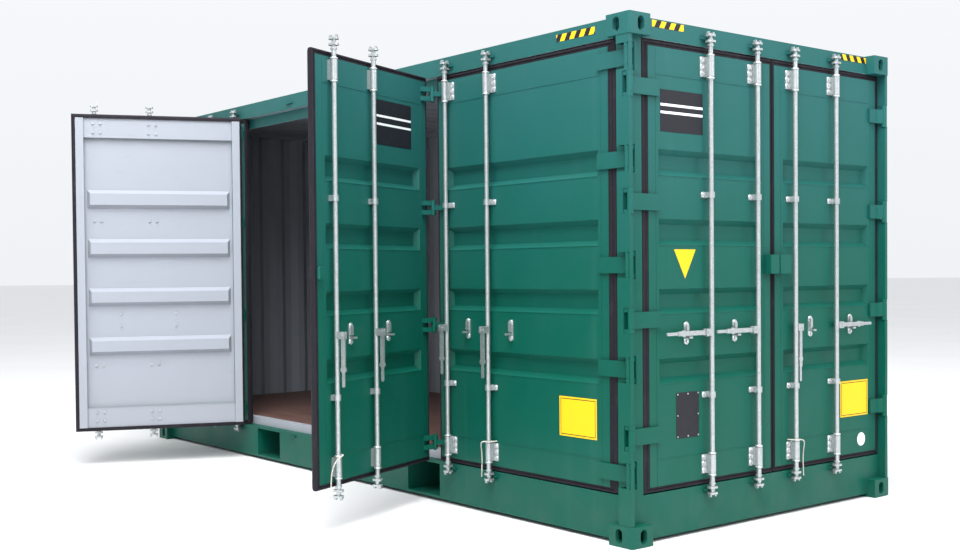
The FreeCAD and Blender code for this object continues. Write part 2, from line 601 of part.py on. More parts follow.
def post_blade(z):
    """Strap of the first side leaf, from the near post's pin across the seal to the leaf."""
    half = BLADE_TALL / 2
    pin_y = POST_PIN_Y - SIDE_FACE
    edge = LEAVES["side_leaf_1"]["x1"]
    front, back = -2.0 - STRAP_THICK, -2.0
    tail = edge - STRAP_REACH
    strap = box(tail, POST_PIN_X - 22, front, back, z - half, z + half)
    pad = box(tail + 4, edge - 8, back, 0, z - half + STRAP_PAD_EDGE, z + half - STRAP_PAD_EDGE)
    root = prism([(POST_PIN_X - 40, front), (POST_PIN_X - 40, back), (POST_PIN_X - 6, -20),
                  (POST_PIN_X - 6, pin_y - 16), (POST_PIN_X - 14, pin_y - 8)], z - half, z + half)
    knuckle = cyl(POST_PIN_X, pin_y, z - half, z + half, KNUCKLE_R)
    bore = cyl(POST_PIN_X, pin_y, z - half, z + half, PIN_R + PIN_CLEAR)
    return fuse_all([strap, pad, root, knuckle]).cut(bore)


# ---------------------------------------------------------------------------
# Lock gear. Rods stand upright in front of a leaf; a handle points to `side`
# (-1 left, +1 right) when it is latched.
# ---------------------------------------------------------------------------
def cam(z_low, prong_up):
    """Spool-shaped cam: two lobed plates with a neck, and two short prongs."""
    plates = []
    for low in (z_low, z_low + CAM_PLATE + CAM_GAP):
        disc = cyl(0, 0, low, low + CAM_PLATE, CAM_R)
        plates.append(disc.common(box(-CAM_R, CAM_R, -CAM_HALF_THICK, CAM_HALF_THICK, low, low + CAM_PLATE)))
    top = z_low + 2 * CAM_PLATE + CAM_GAP
    neck = cyl(0, 0, z_low, top, CAM_NECK_R)
    base = top if prong_up else z_low
    reach = PRONG_LONG if prong_up else -PRONG_LONG
    prongs = [box(sx * PRONG_NEAR, sx * PRONG_FAR, -PRONG_HALF_THICK, PRONG_HALF_THICK, base, base + reach)
              for sx in (-1, 1)]
    return fuse_all(plates + [neck] + prongs)


def lock_rod(x, side):
    """Rod with a cam at each end and the clevis that carries the handle."""
    cam_tall = 2 * CAM_PLATE + CAM_GAP
    bar = cyl(0, 0, ROD_BOTTOM + cam_tall / 2, ROD_TOP - cam_tall / 2, ROD_R)
    collars = [cyl(0, 0, z, z + COLLAR_TALL, COLLAR_R)
               for z in (ROD_BOTTOM + cam_tall + COLLAR_GAP, ROD_TOP - cam_tall - COLLAR_GAP - COLLAR_TALL)]
    block = box(CLEVIS_NEAR, PIVOT_OUT + CLEVIS_PAST_PIN, -CLEVIS_HALF_THICK, CLEVIS_HALF_THICK,
                HANDLE_Z - CLEVIS_HALF_TALL, HANDLE_Z + CLEVIS_HALF_TALL)
    gap = HANDLE_THICK / 2 + CLEVIS_CLEAR
    block = block.cut(box(CLEVIS_THROAT, PIVOT_OUT + CLEVIS_PAST_PIN + 1, -gap, gap,
                          HANDLE_Z - CLEVIS_HALF_TALL - 1, HANDLE_Z + CLEVIS_HALF_TALL + 1))
    pin_half = CLEVIS_HALF_THICK + PIVOT_HEAD
    pin = cyl_y(PIVOT_OUT, -pin_half, pin_half, HANDLE_Z, PIVOT_R)
    rod = fuse_all([bar, cam(ROD_BOTTOM, False), cam(ROD_TOP - cam_tall, True)] + collars + [block, pin])
    if side < 0:
        rod = mirror_x(rod)
    return moved(rod, x, -ROD_OUT, 0)


def lock_handle(x, side, hanging, length):
    """Flat bar handle with its seal boss; it hangs straight down or lies level."""
    half = HANDLE_THICK / 2
    root = cyl_y(0, -half, half, 0, HANDLE_TALL / 2 + 5)
    bar = box(0, length - GRIP_LENGTH, -half, half, -HANDLE_TALL / 2, HANDLE_TALL / 2)
    grip = box(length - GRIP_LENGTH, length - GRIP_R, -half + 2, half - 2, -GRIP_R, GRIP_R)
    tip = cyl_y(length - GRIP_R, -half + 2, half - 2, 0, GRIP_R)
    boss = cyl_y(EYE_OUT, -half, half, 0, EYE_BOSS_R)
    handle = fuse_all([root, bar, grip, tip, boss]).cut(cyl_y(0, -half, half, 0, PIVOT_R + PIVOT_CLEAR))
    if hanging:
        handle.rotate(V(0, 0, 0), V(0, 1, 0), 90)
    handle = moved(handle, PIVOT_OUT, 0, HANDLE_Z)
    if side < 0:
        handle = mirror_x(handle)
    return moved(handle, x, -ROD_OUT, 0)


def sleeve(x, z0, z1, flange_side, flange_wide):
    """Bearing sleeve for a rod with its base and bolting flange."""
    barrel = cyl(x, -ROD_OUT, z0, z1, SLEEVE_R)
    base = box(x - SLEEVE_BASE_HALF, x + SLEEVE_BASE_HALF, -ROD_OUT, 0, z0, z1)
    flange = box(x + flange_side * FLANGE_ROOT, x + flange_side * (SLEEVE_R + flange_wide),
                 -FLANGE_THICK, 0, z0, z1)
    body = fuse_all([barrel, base, flange])
    return body.cut(cyl(x, -ROD_OUT, z0, z1, ROD_R + ROD_CLEAR))


def retainer(x, side):
    """Cradle that a latched handle rests over, with its cover plate behind."""
    cx = x + side * (PIVOT_OUT + CRADLE_OUT)
    ledge_top = HANDLE_Z - HANDLE_TALL / 2 - LEDGE_DROP
    base = box(cx - CRADLE_HALF_WIDE, cx + CRADLE_HALF_WIDE, -FLANGE_THICK, 0,
               HANDLE_Z - CRADLE_HALF_TALL, HANDLE_Z + CRADLE_HALF_TALL)
    ledge = box(cx - LEDGE_HALF_WIDE, cx + LEDGE_HALF_WIDE, -ROD_OUT - LEDGE_PAST_ROD, -FLANGE_THICK,
                ledge_top - LEDGE_THICK, ledge_top)
    cover = box(cx - COVER_HALF_WIDE, cx + COVER_HALF_WIDE, -COVER_OUT, -FLANGE_THICK,
                HANDLE_Z + COVER_LOW, HANDLE_Z + COVER_HIGH)
    return fuse_all([base, ledge, cover])


def brackets(x, side, flange_side):
    """All bearings and the handle cradle of one rod."""
    pieces = [sleeve(x, z0, z1, flange_side, BRACKET_FLANGE) for z0, z1 in (BRACKET_LOW, BRACKET_HIGH)]
    pieces += [sleeve(x, z, z + GUIDE_TALL, flange_side, GUIDE_FLANGE) for z in GUIDE_Z]
    pieces.append(retainer(x, side))
    return pieces


def rounded_path(points):
    """Straight runs joined by tangent arcs, and the radii of those arcs."""
    edges, radii, start = [], [], points[0]
    for before, corner, after in zip(points, points[1:], points[2:]):
        back, ahead = before - corner, after - corner
        half_turn = (math.pi - back.getAngle(ahead)) / 2
        reach = ARC_SHARE * min(back.Length, ahead.Length)
        radius = reach / math.tan(half_turn)
        back.normalize()
        ahead.normalize()
        inward = (back + ahead).normalize()
        first, last = corner + back * reach, corner + ahead * reach
        middle = corner + inward * (radius / math.cos(half_turn) - radius)
        edges += [Part.LineSegment(start, first).toShape(), Part.Arc(first, middle, last).toShape()]
        radii.append(radius)
        start = last
    edges.append(Part.LineSegment(start, points[-1]).toShape())
    return Part.Wire(edges), radii


def tie_rope(x, flange_side):
    """Rope that starts at the leaf, passes in front of a rod and hangs down beside it."""
    points = [V(x - flange_side * across, -out, z) for across, out, z in ROPE_ROUTE]
    path, radii = rounded_path(points)
    section = Part.Wire([Part.makeCircle(ROPE_R, points[0], points[1] - points[0])])
    rope = path.makePipeShell([section], True, False)
    ideal = math.pi * ROPE_R ** 2 * path.Length
    print("rope: length %.1f, volume ratio %.4f, radii %s"
          % (path.Length, rope.Volume / ideal, [round(r, 1) for r in radii]))
    return rope


def keepers_for(xs):
    """Lips on the header and the sill that a cam closes over, in leaf coordinates."""
    cam_mid = CAM_PLATE + CAM_GAP / 2
    pieces = []
    for x in xs:
        for z in (ROD_BOTTOM + cam_mid, ROD_TOP - cam_mid):
            pieces.append(box(x - KEEPER_WIDE / 2, x + KEEPER_WIDE / 2, -KEEPER_OUT, 0,
                              z - KEEPER_THICK / 2, z + KEEPER_THICK / 2))
    return pieces


# ---------------------------------------------------------------------------
# The leaves and where they stand
# ---------------------------------------------------------------------------
LEAVES = {
    "end_left": {"x0": -1016.0, "x1": END_MIDDLE - END_GAP_HALF, "left": 48.0, "right": 17.5,
                 "rods": [-535.0, -113.0], "side": -1, "flange": -1},
    "end_right": {"x0": END_MIDDLE + END_GAP_HALF, "x1": 1150.0, "left": 17.5, "right": 35.0,
                  "rods": [249.0, 671.0], "side": 1, "flange": -1},
    "side_leaf_1": {"x0": FOLD_NEAR_X + FOLD_GAP_HALF, "x1": 2808.0, "left": 17.5, "right": 58.0,
                    "rods": [1373.0, 1790.0], "side": 1, "flange": 1, "open": None},
    "side_leaf_2": {"x0": 10.0, "x1": FOLD_NEAR_X - FOLD_GAP_HALF, "left": 25.0, "right": 17.5,
                    "rods": [141.0, 551.0], "side": 1, "flange": 1,
                    "open": (FOLD_NEAR_X, NEAR_LEAF_OPEN)},
    "side_leaf_3": {"x0": FOLD_FAR_X + FOLD_GAP_HALF, "x1": -95.0, "left": 17.5, "right": 30.0,
                    "rods": [-658.0, -236.0], "side": -1, "flange": -1,
                    "open": (FOLD_FAR_X, FAR_LEAF_OPEN)},
    "side_leaf_4": {"x0": -2872.0, "x1": FOLD_FAR_X - FOLD_GAP_HALF, "left": 50.0, "right": 17.5,
                    "rods": [-1933.0, -1516.0], "side": -1, "flange": -1, "open": None},
}
SIDE_NAMES = ["side_leaf_1", "side_leaf_2", "side_leaf_3", "side_leaf_4"]


def place_leaf(shape, name):
    """Put a piece drawn in leaf coordinates on its wall, folded open where the leaf is."""
    leaf = LEAVES[name]
    if name.startswith("end"):
        return at_end(shape)
    shape = at_side(shape)
    if leaf["open"]:
        hinge_x, degrees = leaf["open"]
        shape = turned(shape, hinge_x, SIDE_FACE - FOLD_PIN_OUT, degrees)
    return shape


def lockbox_half(name):
    """Half of the lock cover over the meeting leaves: an open-bottomed box."""
    x0, x1 = LOCKBOX_HALVES[name]
    z0, z1 = LOCKBOX_Z
    t = LOCKBOX_WALL
    shell = box(x0, x1, -LOCKBOX_OUT, 0, z0, z1)
    return shell.cut(box(x0 + t, x1 - t, -LOCKBOX_OUT + t, 0, z0, z1 - t))


def fold_hinge(x, z, leaf_side, opened):
    """Hinge between two side leaves: a strap on the closed leaf, one on the folded leaf, a pin."""
    half = BLADE_TALL / 2
    third = BLADE_TALL / 3
    y = -FOLD_PIN_OUT
    reach = FOLD_GAP_HALF + FOLD_STRAP_REACH

    def strap(sign, z0, z1):
        ring = [(x - sign * 10, y - 12), (x + sign * 30, y - 2), (x + sign * reach, -STRAP_THICK),
                (x + sign * reach, 0), (x + sign * (FOLD_GAP_HALF + 2), 0), (x - sign * 4, y + 14)]
        return fuse_all([prism(ring, z0, z1), cyl(x, y, z0, z1, KNUCKLE_R)])

    fixed = strap(leaf_side, z - third / 2, z + third / 2)
    folded = [strap(-leaf_side, z - half, z - third / 2), strap(-leaf_side, z + third / 2, z + half)]
    folded = [turned(piece, x, y, opened) for piece in folded]
    pin = cyl(x, y, z - half - PIN_PAST_FOLD, z + half + PIN_PAST_FOLD, PIN_R)
    return fuse_all([fixed, pin] + folded)


def far_post_hinge(z):
    """Hinge of the far side leaf: one strap and a knuckle against the far post's inner side."""
    half = BLADE_TALL / 2
    edge = LEAVES["side_leaf_4"]["x0"]
    pin_x = FAR_POST_X + KNUCKLE_R
    pin_y = -32.0
    strap = prism([(edge + STRAP_REACH, 0), (edge + STRAP_REACH, -STRAP_THICK),
                   (edge - 20, -STRAP_THICK), (pin_x, pin_y - 14),
                   (FAR_POST_X, pin_y), (FAR_POST_X, 0)], z - half, z + half)
    return fuse_all([strap, cyl(pin_x, pin_y, z - half, z + half, KNUCKLE_R)])


def side_hinges():
    pieces = [post_blade(z) for z in POST_HINGE_Z]
    for z in FOLD_HINGE_Z:
        pieces.append(fold_hinge(FOLD_NEAR_X, z, 1, NEAR_LEAF_OPEN))
        pieces.append(fold_hinge(FOLD_FAR_X, z, -1, FAR_LEAF_OPEN))
    for z in POST_HINGE_Z:
        pieces.append(far_post_hinge(z))
    return group([at_side(piece) for piece in pieces])


# ---------------------------------------------------------------------------
# Build every node
# ---------------------------------------------------------------------------
def build():
    nodes = {}
    nodes["bottom_corner_castings"] = castings(True)
    nodes["top_corner_castings"] = castings(False)
    nodes["door_end_posts"] = group([near_post(), rear_door_post()])
    nodes["closed_end_posts"] = closed_end_posts()
    posts = post_envelopes()
    nodes["door_header"] = door_header()
    nodes["side_header"] = side_header()
    nodes["door_sill"] = door_sill(posts)
    nodes["side_sill"] = side_sill(posts)
    nodes["side_sill_gussets"] = side_sill_gussets(posts)
    nodes["side_threshold"] = side_threshold(posts)
    nodes["rear_top_rail"] = rear_top_rail()
    nodes["rear_bottom_rail"] = rear_bottom_rail()
    nodes["closed_end_header"] = closed_end_header()
    nodes["closed_end_sill"] = closed_end_sill()
    nodes["crossmembers"] = crossmembers()
    nodes["fork_pockets"] = fork_pockets()
    nodes["fork_pocket_straps"] = fork_pocket_straps()
    nodes["floor"] = floor_deck(posts)
    nodes["rear_side_wall"] = rear_side_wall()
    nodes["closed_end_wall"] = closed_end_wall()
    nodes["roof"] = roof()

    end_rods = LEAVES["end_left"]["rods"] + LEAVES["end_right"]["rods"]
    side_rods = [x for name in SIDE_NAMES for x in LEAVES[name]["rods"]]
    nodes["lock_keepers"] = group([at_end(k) for k in keepers_for(end_rods)]
                                  + [at_side(k) for k in keepers_for(side_rods)])

    for name, pin in (("end_left", -END_PIN_Y), ("end_right", END_PIN_Y)):
        leaf = LEAVES[name]
        side = leaf["side"]
        edge = leaf["x0"] if side < 0 else leaf["x1"]
        nodes[name + "_leaf"] = at_end(leaf_panel(leaf["x0"], leaf["x1"]))
        nodes[name + "_gasket"] = at_end(leaf_gasket(leaf["x0"], leaf["x1"], leaf["left"], leaf["right"]))
        nodes[name + "_hinge_straps"] = group([at_end(end_blade(edge, pin, z, side)) for z in END_HINGE_Z])
        fittings = [b for x in leaf["rods"] for b in brackets(x, side, leaf["flange"])]
        nodes[name + "_rod_brackets"] = group([at_end(b) for b in fittings])
        nodes[name + "_lockbox"] = at_end(lockbox_half(name))

    gaskets, side_brackets = [], []
    for name in SIDE_NAMES:
        leaf = LEAVES[name]
        nodes[name] = place_leaf(leaf_panel(leaf["x0"], leaf["x1"]), name)
        ring = leaf_gasket(leaf["x0"], leaf["x1"], leaf["left"], leaf["right"])
        gaskets.append(place_leaf(ring, name))
        for x in leaf["rods"]:
            side_brackets += [place_leaf(b, name) for b in brackets(x, leaf["side"], leaf["flange"])]
    nodes["side_leaf_gaskets"] = group(gaskets)
    nodes["side_leaf_hinges"] = side_hinges()
    nodes["side_rod_brackets"] = group(side_brackets)

    for name in ("end_left", "end_right"):
        leaf = LEAVES[name]
        for i, x in enumerate(leaf["rods"], 1):
            hanging = name == "end_right" and i == 1
            nodes["%s_rod_%d" % (name, i)] = at_end(lock_rod(x, leaf["side"]))
            nodes["%s_handle_%d" % (name, i)] = at_end(lock_handle(x, leaf["side"], hanging, LONG_HANDLE))

    for name in ("side_leaf_1", "side_leaf_2"):
        leaf = LEAVES[name]
        for i, x in enumerate(leaf["rods"], 1):
            rod, handle = lock_rod(x, leaf["side"]), lock_handle(x, leaf["side"], True, SHORT_HANDLE)
            out = [turned(piece, x, -ROD_OUT, -90 * leaf["side"]) for piece in (rod, handle)]
            nodes["%s_rod_%d" % (name, i)] = place_leaf(out[0], name)
            nodes["%s_handle_%d" % (name, i)] = place_leaf(out[1], name)

    for name, number in ROPES:
        leaf = LEAVES[name]
        nodes[name + "_tie_rope"] = place_leaf(tie_rope(leaf["rods"][number], leaf["flange"]), name)

    fixed_gear = []
    for name in ("side_leaf_3", "side_leaf_4"):
        leaf = LEAVES[name]
        hanging = name == "side_leaf_3"
        for x in leaf["rods"]:
            fixed_gear.append(place_leaf(lock_rod(x, leaf["side"]), name))
            fixed_gear.append(place_leaf(lock_handle(x, leaf["side"], hanging, SHORT_HANDLE), name))
    nodes["far_leaf_lock_gear"] = group(fixed_gear)
    return nodes


def main():
    os.makedirs("parts", exist_ok=True)
    for name, shape in build().items():
        shape.exportStep("parts/%s.step" % name)


main()
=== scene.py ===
"""Finishes for a side-opening freight container, laid out as an add-on and run as a script."""
import json
import math

import bmesh
import bpy
from mathutils import Matrix, Vector


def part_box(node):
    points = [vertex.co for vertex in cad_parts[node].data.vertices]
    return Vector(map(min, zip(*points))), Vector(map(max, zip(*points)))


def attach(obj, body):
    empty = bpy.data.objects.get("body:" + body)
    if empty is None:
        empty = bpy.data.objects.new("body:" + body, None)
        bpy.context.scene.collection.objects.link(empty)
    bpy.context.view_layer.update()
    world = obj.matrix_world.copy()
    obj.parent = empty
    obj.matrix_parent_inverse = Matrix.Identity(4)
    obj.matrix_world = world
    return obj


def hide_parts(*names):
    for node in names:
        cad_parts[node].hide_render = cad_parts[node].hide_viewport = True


bl_info = {
    "name": "Side-opening container finishes",
    "version": (1, 0, 0),
    "blender": (4, 5, 0),
    "location": "View3D > Sidebar > Container",
    "description": "Paint, seals, bolts, plates and ropes for a packed container model",
    "category": "Object",
}

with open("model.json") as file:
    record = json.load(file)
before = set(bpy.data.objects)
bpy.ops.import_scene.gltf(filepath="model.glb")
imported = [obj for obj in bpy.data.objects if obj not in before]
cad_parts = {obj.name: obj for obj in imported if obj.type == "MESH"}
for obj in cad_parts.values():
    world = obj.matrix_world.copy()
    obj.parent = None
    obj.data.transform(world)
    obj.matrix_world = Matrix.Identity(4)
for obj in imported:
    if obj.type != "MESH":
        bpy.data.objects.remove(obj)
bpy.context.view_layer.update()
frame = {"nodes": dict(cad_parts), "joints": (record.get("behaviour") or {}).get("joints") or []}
NODES = frame["nodes"]
JOINTS = {joint["name"]: joint for joint in frame["joints"]}

# ---------------------------------------------------------------------------
# Places, in metres: faces and leaf heights taken from the frame, the rest given
# ---------------------------------------------------------------------------
END_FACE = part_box("end_left_leaf")[1].x
SIDE_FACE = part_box("side_leaf_1")[0].y
LEAF_LOW, LEAF_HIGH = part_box("end_left_leaf")[0].z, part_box("end_left_leaf")[1].z
FOLD_OUT = 0.038                      # fold hinge line in front of the leaf faces
NEAR_FOLD = (1.237, 113.0)            # x of the hinge line, degrees the leaf stands open
FAR_FOLD = (-1.380, -112.5)
NEAR_LEAF_EDGE, FAR_LEAF_EDGE = 0.010, -0.095     # free edges of the two folded leaves
STILE, RAIL_HEIGHT, RAIL_DEPTH = 0.060, 0.150, 0.032
SHEET = 0.0025                        # thickness of a leaf's pressed sheet
ROD_RADIUS = 0.014
ROD_OUT, HANDLE_Z = 0.036, 1.150
BRACKETS = ((0.338, 0.448), (2.607, 2.722))
GUIDES = (0.775, 1.918)
GUIDE_TALL = 0.034
RECESS_BANDS = ((0.875, 1.014), (1.263, 1.402), (1.647, 1.792), (2.034, 2.178))
RECESS_MARGIN = 0.022


def end_matrix():
    """Leaf coordinates (x right, y into the box, z up) to the frame, for the end doors."""
    return Matrix(((0, -1, 0, END_FACE), (1, 0, 0, 0), (0, 0, 1, 0), (0, 0, 0, 1)))


def side_matrix(fold=None):
    """Leaf coordinates to the frame, for a closed or a folded side leaf."""
    placed = Matrix.Translation((0, SIDE_FACE, 0))
    if fold is None:
        return placed
    hinge = Vector((fold[0], SIDE_FACE - FOLD_OUT, 0))
    turn = Matrix.Rotation(math.radians(fold[1]), 4, "Z")
    return Matrix.Translation(hinge) @ turn @ Matrix.Translation(-hinge) @ placed


def rods_of(prefix, matrix):
    """(x in leaf coordinates, body) of each lock rod of a leaf, from its joint."""
    joints = [JOINTS[name] for name in sorted(JOINTS) if name.startswith(prefix + "_lock_rod")]
    return [((matrix.inverted() @ Vector(joint["pos_m"])).x, joint["child"]) for joint in joints]


def leaf_table():
    """Every leaf with its body, its span, its rods and the widths of its seal."""
    end, side = end_matrix(), side_matrix()
    near, far = side_matrix(NEAR_FOLD), side_matrix(FAR_FOLD)
    low, high = {}, {}
    for name, node in (("end_left", "end_left_leaf"), ("end_right", "end_right_leaf")):
        low[name], high[name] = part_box(node)[0].y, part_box(node)[1].y
    for name in ("side_leaf_1", "side_leaf_4"):
        low[name], high[name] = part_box(name)[0].x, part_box(name)[1].x
    half_gap = low["side_leaf_1"] - NEAR_FOLD[0]
    low["side_leaf_2"], high["side_leaf_2"] = NEAR_LEAF_EDGE, NEAR_FOLD[0] - half_gap
    low["side_leaf_3"], high["side_leaf_3"] = FAR_FOLD[0] + half_gap, FAR_LEAF_EDGE
    rows = {                          # matrix, body, way to the handle, way to the flange, seal widths
        "end_left": (end, "end_left_door", -1, -1, 0.048, 0.0175),
        "end_right": (end, "end_right_door", 1, -1, 0.0175, 0.035),
        "side_leaf_1": (side, "root", 1, 1, 0.0175, 0.058),
        "side_leaf_2": (near, "root", 1, 1, 0.025, 0.0175),
        "side_leaf_3": (far, "root", -1, -1, 0.0175, 0.030),
        "side_leaf_4": (side, "root", -1, -1, 0.050, 0.0175),
    }
    far_rods = {"side_leaf_3": [(-0.658, "root"), (-0.236, "root")],
                "side_leaf_4": [(-1.933, "root"), (-1.516, "root")]}
    table = {}
    for name, (matrix, body, side_way, flange, left, right) in rows.items():
        rods = far_rods.get(name) or rods_of(name, matrix)
        table[name] = {"matrix": matrix, "body": body, "side": side_way, "flange": flange,
                       "x0": low[name], "x1": high[name], "left": left, "right": right,
                       "rods": [x for x, _ in rods], "rod_bodies": [body for _, body in rods]}
    return table


LEAVES = leaf_table()


# ---------------------------------------------------------------------------
# Settings
# ---------------------------------------------------------------------------
def colour_property(name, description, default):
    return bpy.props.FloatVectorProperty(
        name=name, description=description, default=default, subtype="COLOR", size=3, min=0.0, max=1.0)


def length_property(name, description, default):
    return bpy.props.FloatProperty(
        name=name, description=description, default=default, unit="LENGTH", min=0.0)


class ContainerColours(bpy.types.PropertyGroup):
    """Colours of the finishes, as linear values."""
    green: colour_property("Green paint", "Outer paint of the box and its leaves", (0.002, 0.080, 0.055))
    # This tone stands partly for a painted sky reflection: it is mixed in more towards the top of the box.
    chalk_and_sky_sheen: colour_property("Chalked paint", "Outer paint where the weather has faded it",
                             (0.018, 0.106, 0.106))
    lining: colour_property("Lining paint", "Light paint on every inner face", (0.305, 0.328, 0.372))
    zinc: colour_property("Galvanised steel", "Rods, brackets, handles and bolts", (0.40, 0.43, 0.44))
    rubber: colour_property("Seal rubber", "Door seals", (0.012, 0.010, 0.015))
    plywood: colour_property("Plywood", "Floor deck", (0.080, 0.040, 0.033))
    yellow: colour_property("Marking yellow", "Plates and stripes", (0.80, 0.50, 0.010))
    dark: colour_property("Marking black", "Dark plates and stripes", (0.012, 0.012, 0.018))
    white: colour_property("Marking white", "Pale stripes and the round label", (0.80, 0.82, 0.84))
    underbody: colour_property("Underbody coating", "Joists under the floor", (0.022, 0.024, 0.024))
    rope: colour_property("Rope", "Tie-back ropes", (0.80, 0.79, 0.73))
    ground: colour_property("Studio floor", "Plain floor the box stands on", (0.70, 0.70, 0.70))


class ContainerSizes(bpy.types.PropertyGroup):
    """Sizes of the small pieces."""
    bolt_radius: length_property("Bolt radius", "Radius of a bracket bolt's head", 0.0120)
    bolt_height: length_property("Bolt height", "Height of a bracket bolt's head", 0.0095)
    nut_radius: length_property("Nut radius", "Radius of a nut inside a leaf", 0.0110)
    collar_thickness: length_property("Collar thickness", "Half the thickness of a rod collar", 0.0060)
    rivet_radius: length_property("Rivet radius", "Radius of a plate rivet", 0.005)
    seam_width: length_property("Seam width", "Width of the welds across a leaf", 0.006)
    plate_thickness: length_property("Plate thickness", "Thickness of a marking plate", 0.0015)


def colours():
    return bpy.context.scene.container_colours


def sizes():
    return bpy.context.scene.container_sizes


# ---------------------------------------------------------------------------
# Materials
# ---------------------------------------------------------------------------
class Nodes:
    """Small helper that adds and links shader nodes in one material."""

    def __init__(self, name):
        self.material = bpy.data.materials.new(name)
        self.material.use_nodes = True
        self.tree = self.material.node_tree
        self.shader = self.tree.nodes["Principled BSDF"]
        coords = self.tree.nodes.new("ShaderNodeTexCoord")
        self.object = coords.outputs["Object"]
        self.normal = coords.outputs["Normal"]

    def link(self, source, target):
        self.tree.links.new(source, target)

    def put(self, socket, value):
        """Link a socket, or set a constant on it."""
        if isinstance(value, bpy.types.NodeSocket):
            self.link(value, socket)
        elif isinstance(value, (tuple, list)) and len(value) == 3 and socket.type == "RGBA":
            socket.default_value = (*value, 1.0)
        else:
            socket.default_value = value

    def noise(self, scale, detail=4.0, stretch=(1.0, 1.0, 1.0), rough=0.55):
        mapping = self.tree.nodes.new("ShaderNodeMapping")
        mapping.inputs["Scale"].default_value = stretch
        self.link(self.object, mapping.inputs["Vector"])
        node = self.tree.nodes.new("ShaderNodeTexNoise")
        node.inputs["Scale"].default_value = scale
        node.inputs["Detail"].default_value = detail
        node.inputs["Roughness"].default_value = rough
        self.link(mapping.outputs["Vector"], node.inputs["Vector"])
        return node.outputs["Fac"]

    def cells(self, scale):
        node = self.tree.nodes.new("ShaderNodeTexVoronoi")
        node.inputs["Scale"].default_value = scale
        self.link(self.object, node.inputs["Vector"])
        return node

    def ramp(self, value, low, high, start=0.0, end=1.0):
        """Smoothly map low..high to start..end."""
        node = self.tree.nodes.new("ShaderNodeMapRange")
        node.interpolation_type = "SMOOTHSTEP"
        for key, number in (("From Min", low), ("From Max", high), ("To Min", start), ("To Max", end)):
            node.inputs[key].default_value = number
        self.put(node.inputs["Value"], value)
        return node.outputs["Result"]

    def math(self, operation, first, second=0.0):
        node = self.tree.nodes.new("ShaderNodeMath")
        node.operation = operation
        self.put(node.inputs[0], first)
        self.put(node.inputs[1], second)
        return node.outputs[0]

    def mix(self, fac, first, second):
        node = self.tree.nodes.new("ShaderNodeMix")
        node.data_type = "RGBA"
        self.put(node.inputs["Factor"], fac)
        self.put(node.inputs["A"], first)
        self.put(node.inputs["B"], second)
        return node.outputs["Result"]

    def axis(self, index):
        node = self.tree.nodes.new("ShaderNodeSeparateXYZ")
        self.link(self.object, node.inputs[0])
        return node.outputs[index]

    def facing(self, direction):
        """How far the object's own surface faces a fixed direction."""
        node = self.tree.nodes.new("ShaderNodeVectorMath")
        node.operation = "DOT_PRODUCT"
        self.link(self.normal, node.inputs[0])
        node.inputs[1].default_value = direction
        return node.outputs["Value"]

    def bump(self, height, distance, strength=0.4, under=None):
        node = self.tree.nodes.new("ShaderNodeBump")
        node.inputs["Strength"].default_value = strength
        node.inputs["Distance"].default_value = distance
        self.link(height, node.inputs["Height"])
        if under is not None:
            self.link(under, node.inputs["Normal"])
        self.link(node.outputs["Normal"], self.shader.inputs["Normal"])
        return node.outputs["Normal"]

    def finish(self, colour, roughness, metallic=0.0, specular=0.5):
        self.put(self.shader.inputs["Base Color"], colour)
        self.put(self.shader.inputs["Roughness"], roughness)
        self.shader.inputs["Metallic"].default_value = metallic
        self.shader.inputs["Specular IOR Level"].default_value = specular
        return self.material


PAINT_SPECULAR, MARKING_SPECULAR = 0.18, 0.25


def paint_colour(n):
    """Marine paint: a little patchy, lighter and bluer upwards as a painted sky reflection, dusty and
    streaked lower down.
    """
    c = colours()
    height = n.axis(2)
    patches = n.noise(1.7, detail=5.0)
    # Painted sky reflection: the green turns lighter and bluer from 0.9 m up to 2.9 m; the noise patches
    # added below are random fading.
    sky_sheen_and_patches = n.math("MULTIPLY", n.ramp(height, 0.9, 2.9), 0.85)
    sky_sheen_and_patches = n.math("ADD", sky_sheen_and_patches, n.ramp(patches, 0.35, 0.75, -0.06, 0.10))
    colour = n.mix(sky_sheen_and_patches, tuple(c.green), tuple(c.chalk_and_sky_sheen))
    streaks = n.noise(9.0, detail=3.0, stretch=(1.0, 1.0, 0.04))
    streak_fac = n.ramp(streaks, 0.56, 0.80, 0.0, 0.12)
    colour = n.mix(streak_fac, colour, (0.050, 0.150, 0.130))
    dust = n.math("MULTIPLY", n.ramp(height, 0.55, 0.02), n.ramp(n.noise(6.0, detail=6.0), 0.35, 0.75))
    colour = n.mix(n.math("MULTIPLY", dust, 0.12), colour, (0.10, 0.13, 0.11))
    specks = n.ramp(n.noise(38.0, detail=2.0), 0.76, 0.80)
    return n.mix(n.math("MULTIPLY", specks, 0.5), colour, (0.10, 0.035, 0.015))


def paint_bump(n, waviness=0.0035):
    """Orange peel over gentle waves in the sheet."""
    waves = n.noise(1.3, detail=1.0, stretch=(1.0, 1.0, 0.7))
    first = n.bump(waves, waviness, strength=0.5)
    peel = n.noise(240.0, detail=2.0)
    n.bump(peel, 0.0006, strength=0.10, under=first)


def green_paint():
    n = Nodes("green_marine_paint")
    paint_bump(n)
    rough = n.ramp(n.noise(4.0, detail=4.0), 0.3, 0.7, 0.34, 0.48)
    return n.finish(paint_colour(n), rough, specular=PAINT_SPECULAR)


def lining_colour(n):
    """Light inner paint with faint scuffs and grey dust."""
    c = colours()
    scuffs = n.ramp(n.noise(14.0, detail=6.0, stretch=(0.4, 0.4, 1.6)), 0.58, 0.78, 0.0, 0.35)
    colour = n.mix(scuffs, tuple(c.lining), (0.27, 0.29, 0.31))
    low = n.math("MULTIPLY", n.ramp(n.axis(2), 0.95, 0.33), 0.22)
    return n.mix(low, colour, (0.27, 0.28, 0.29))


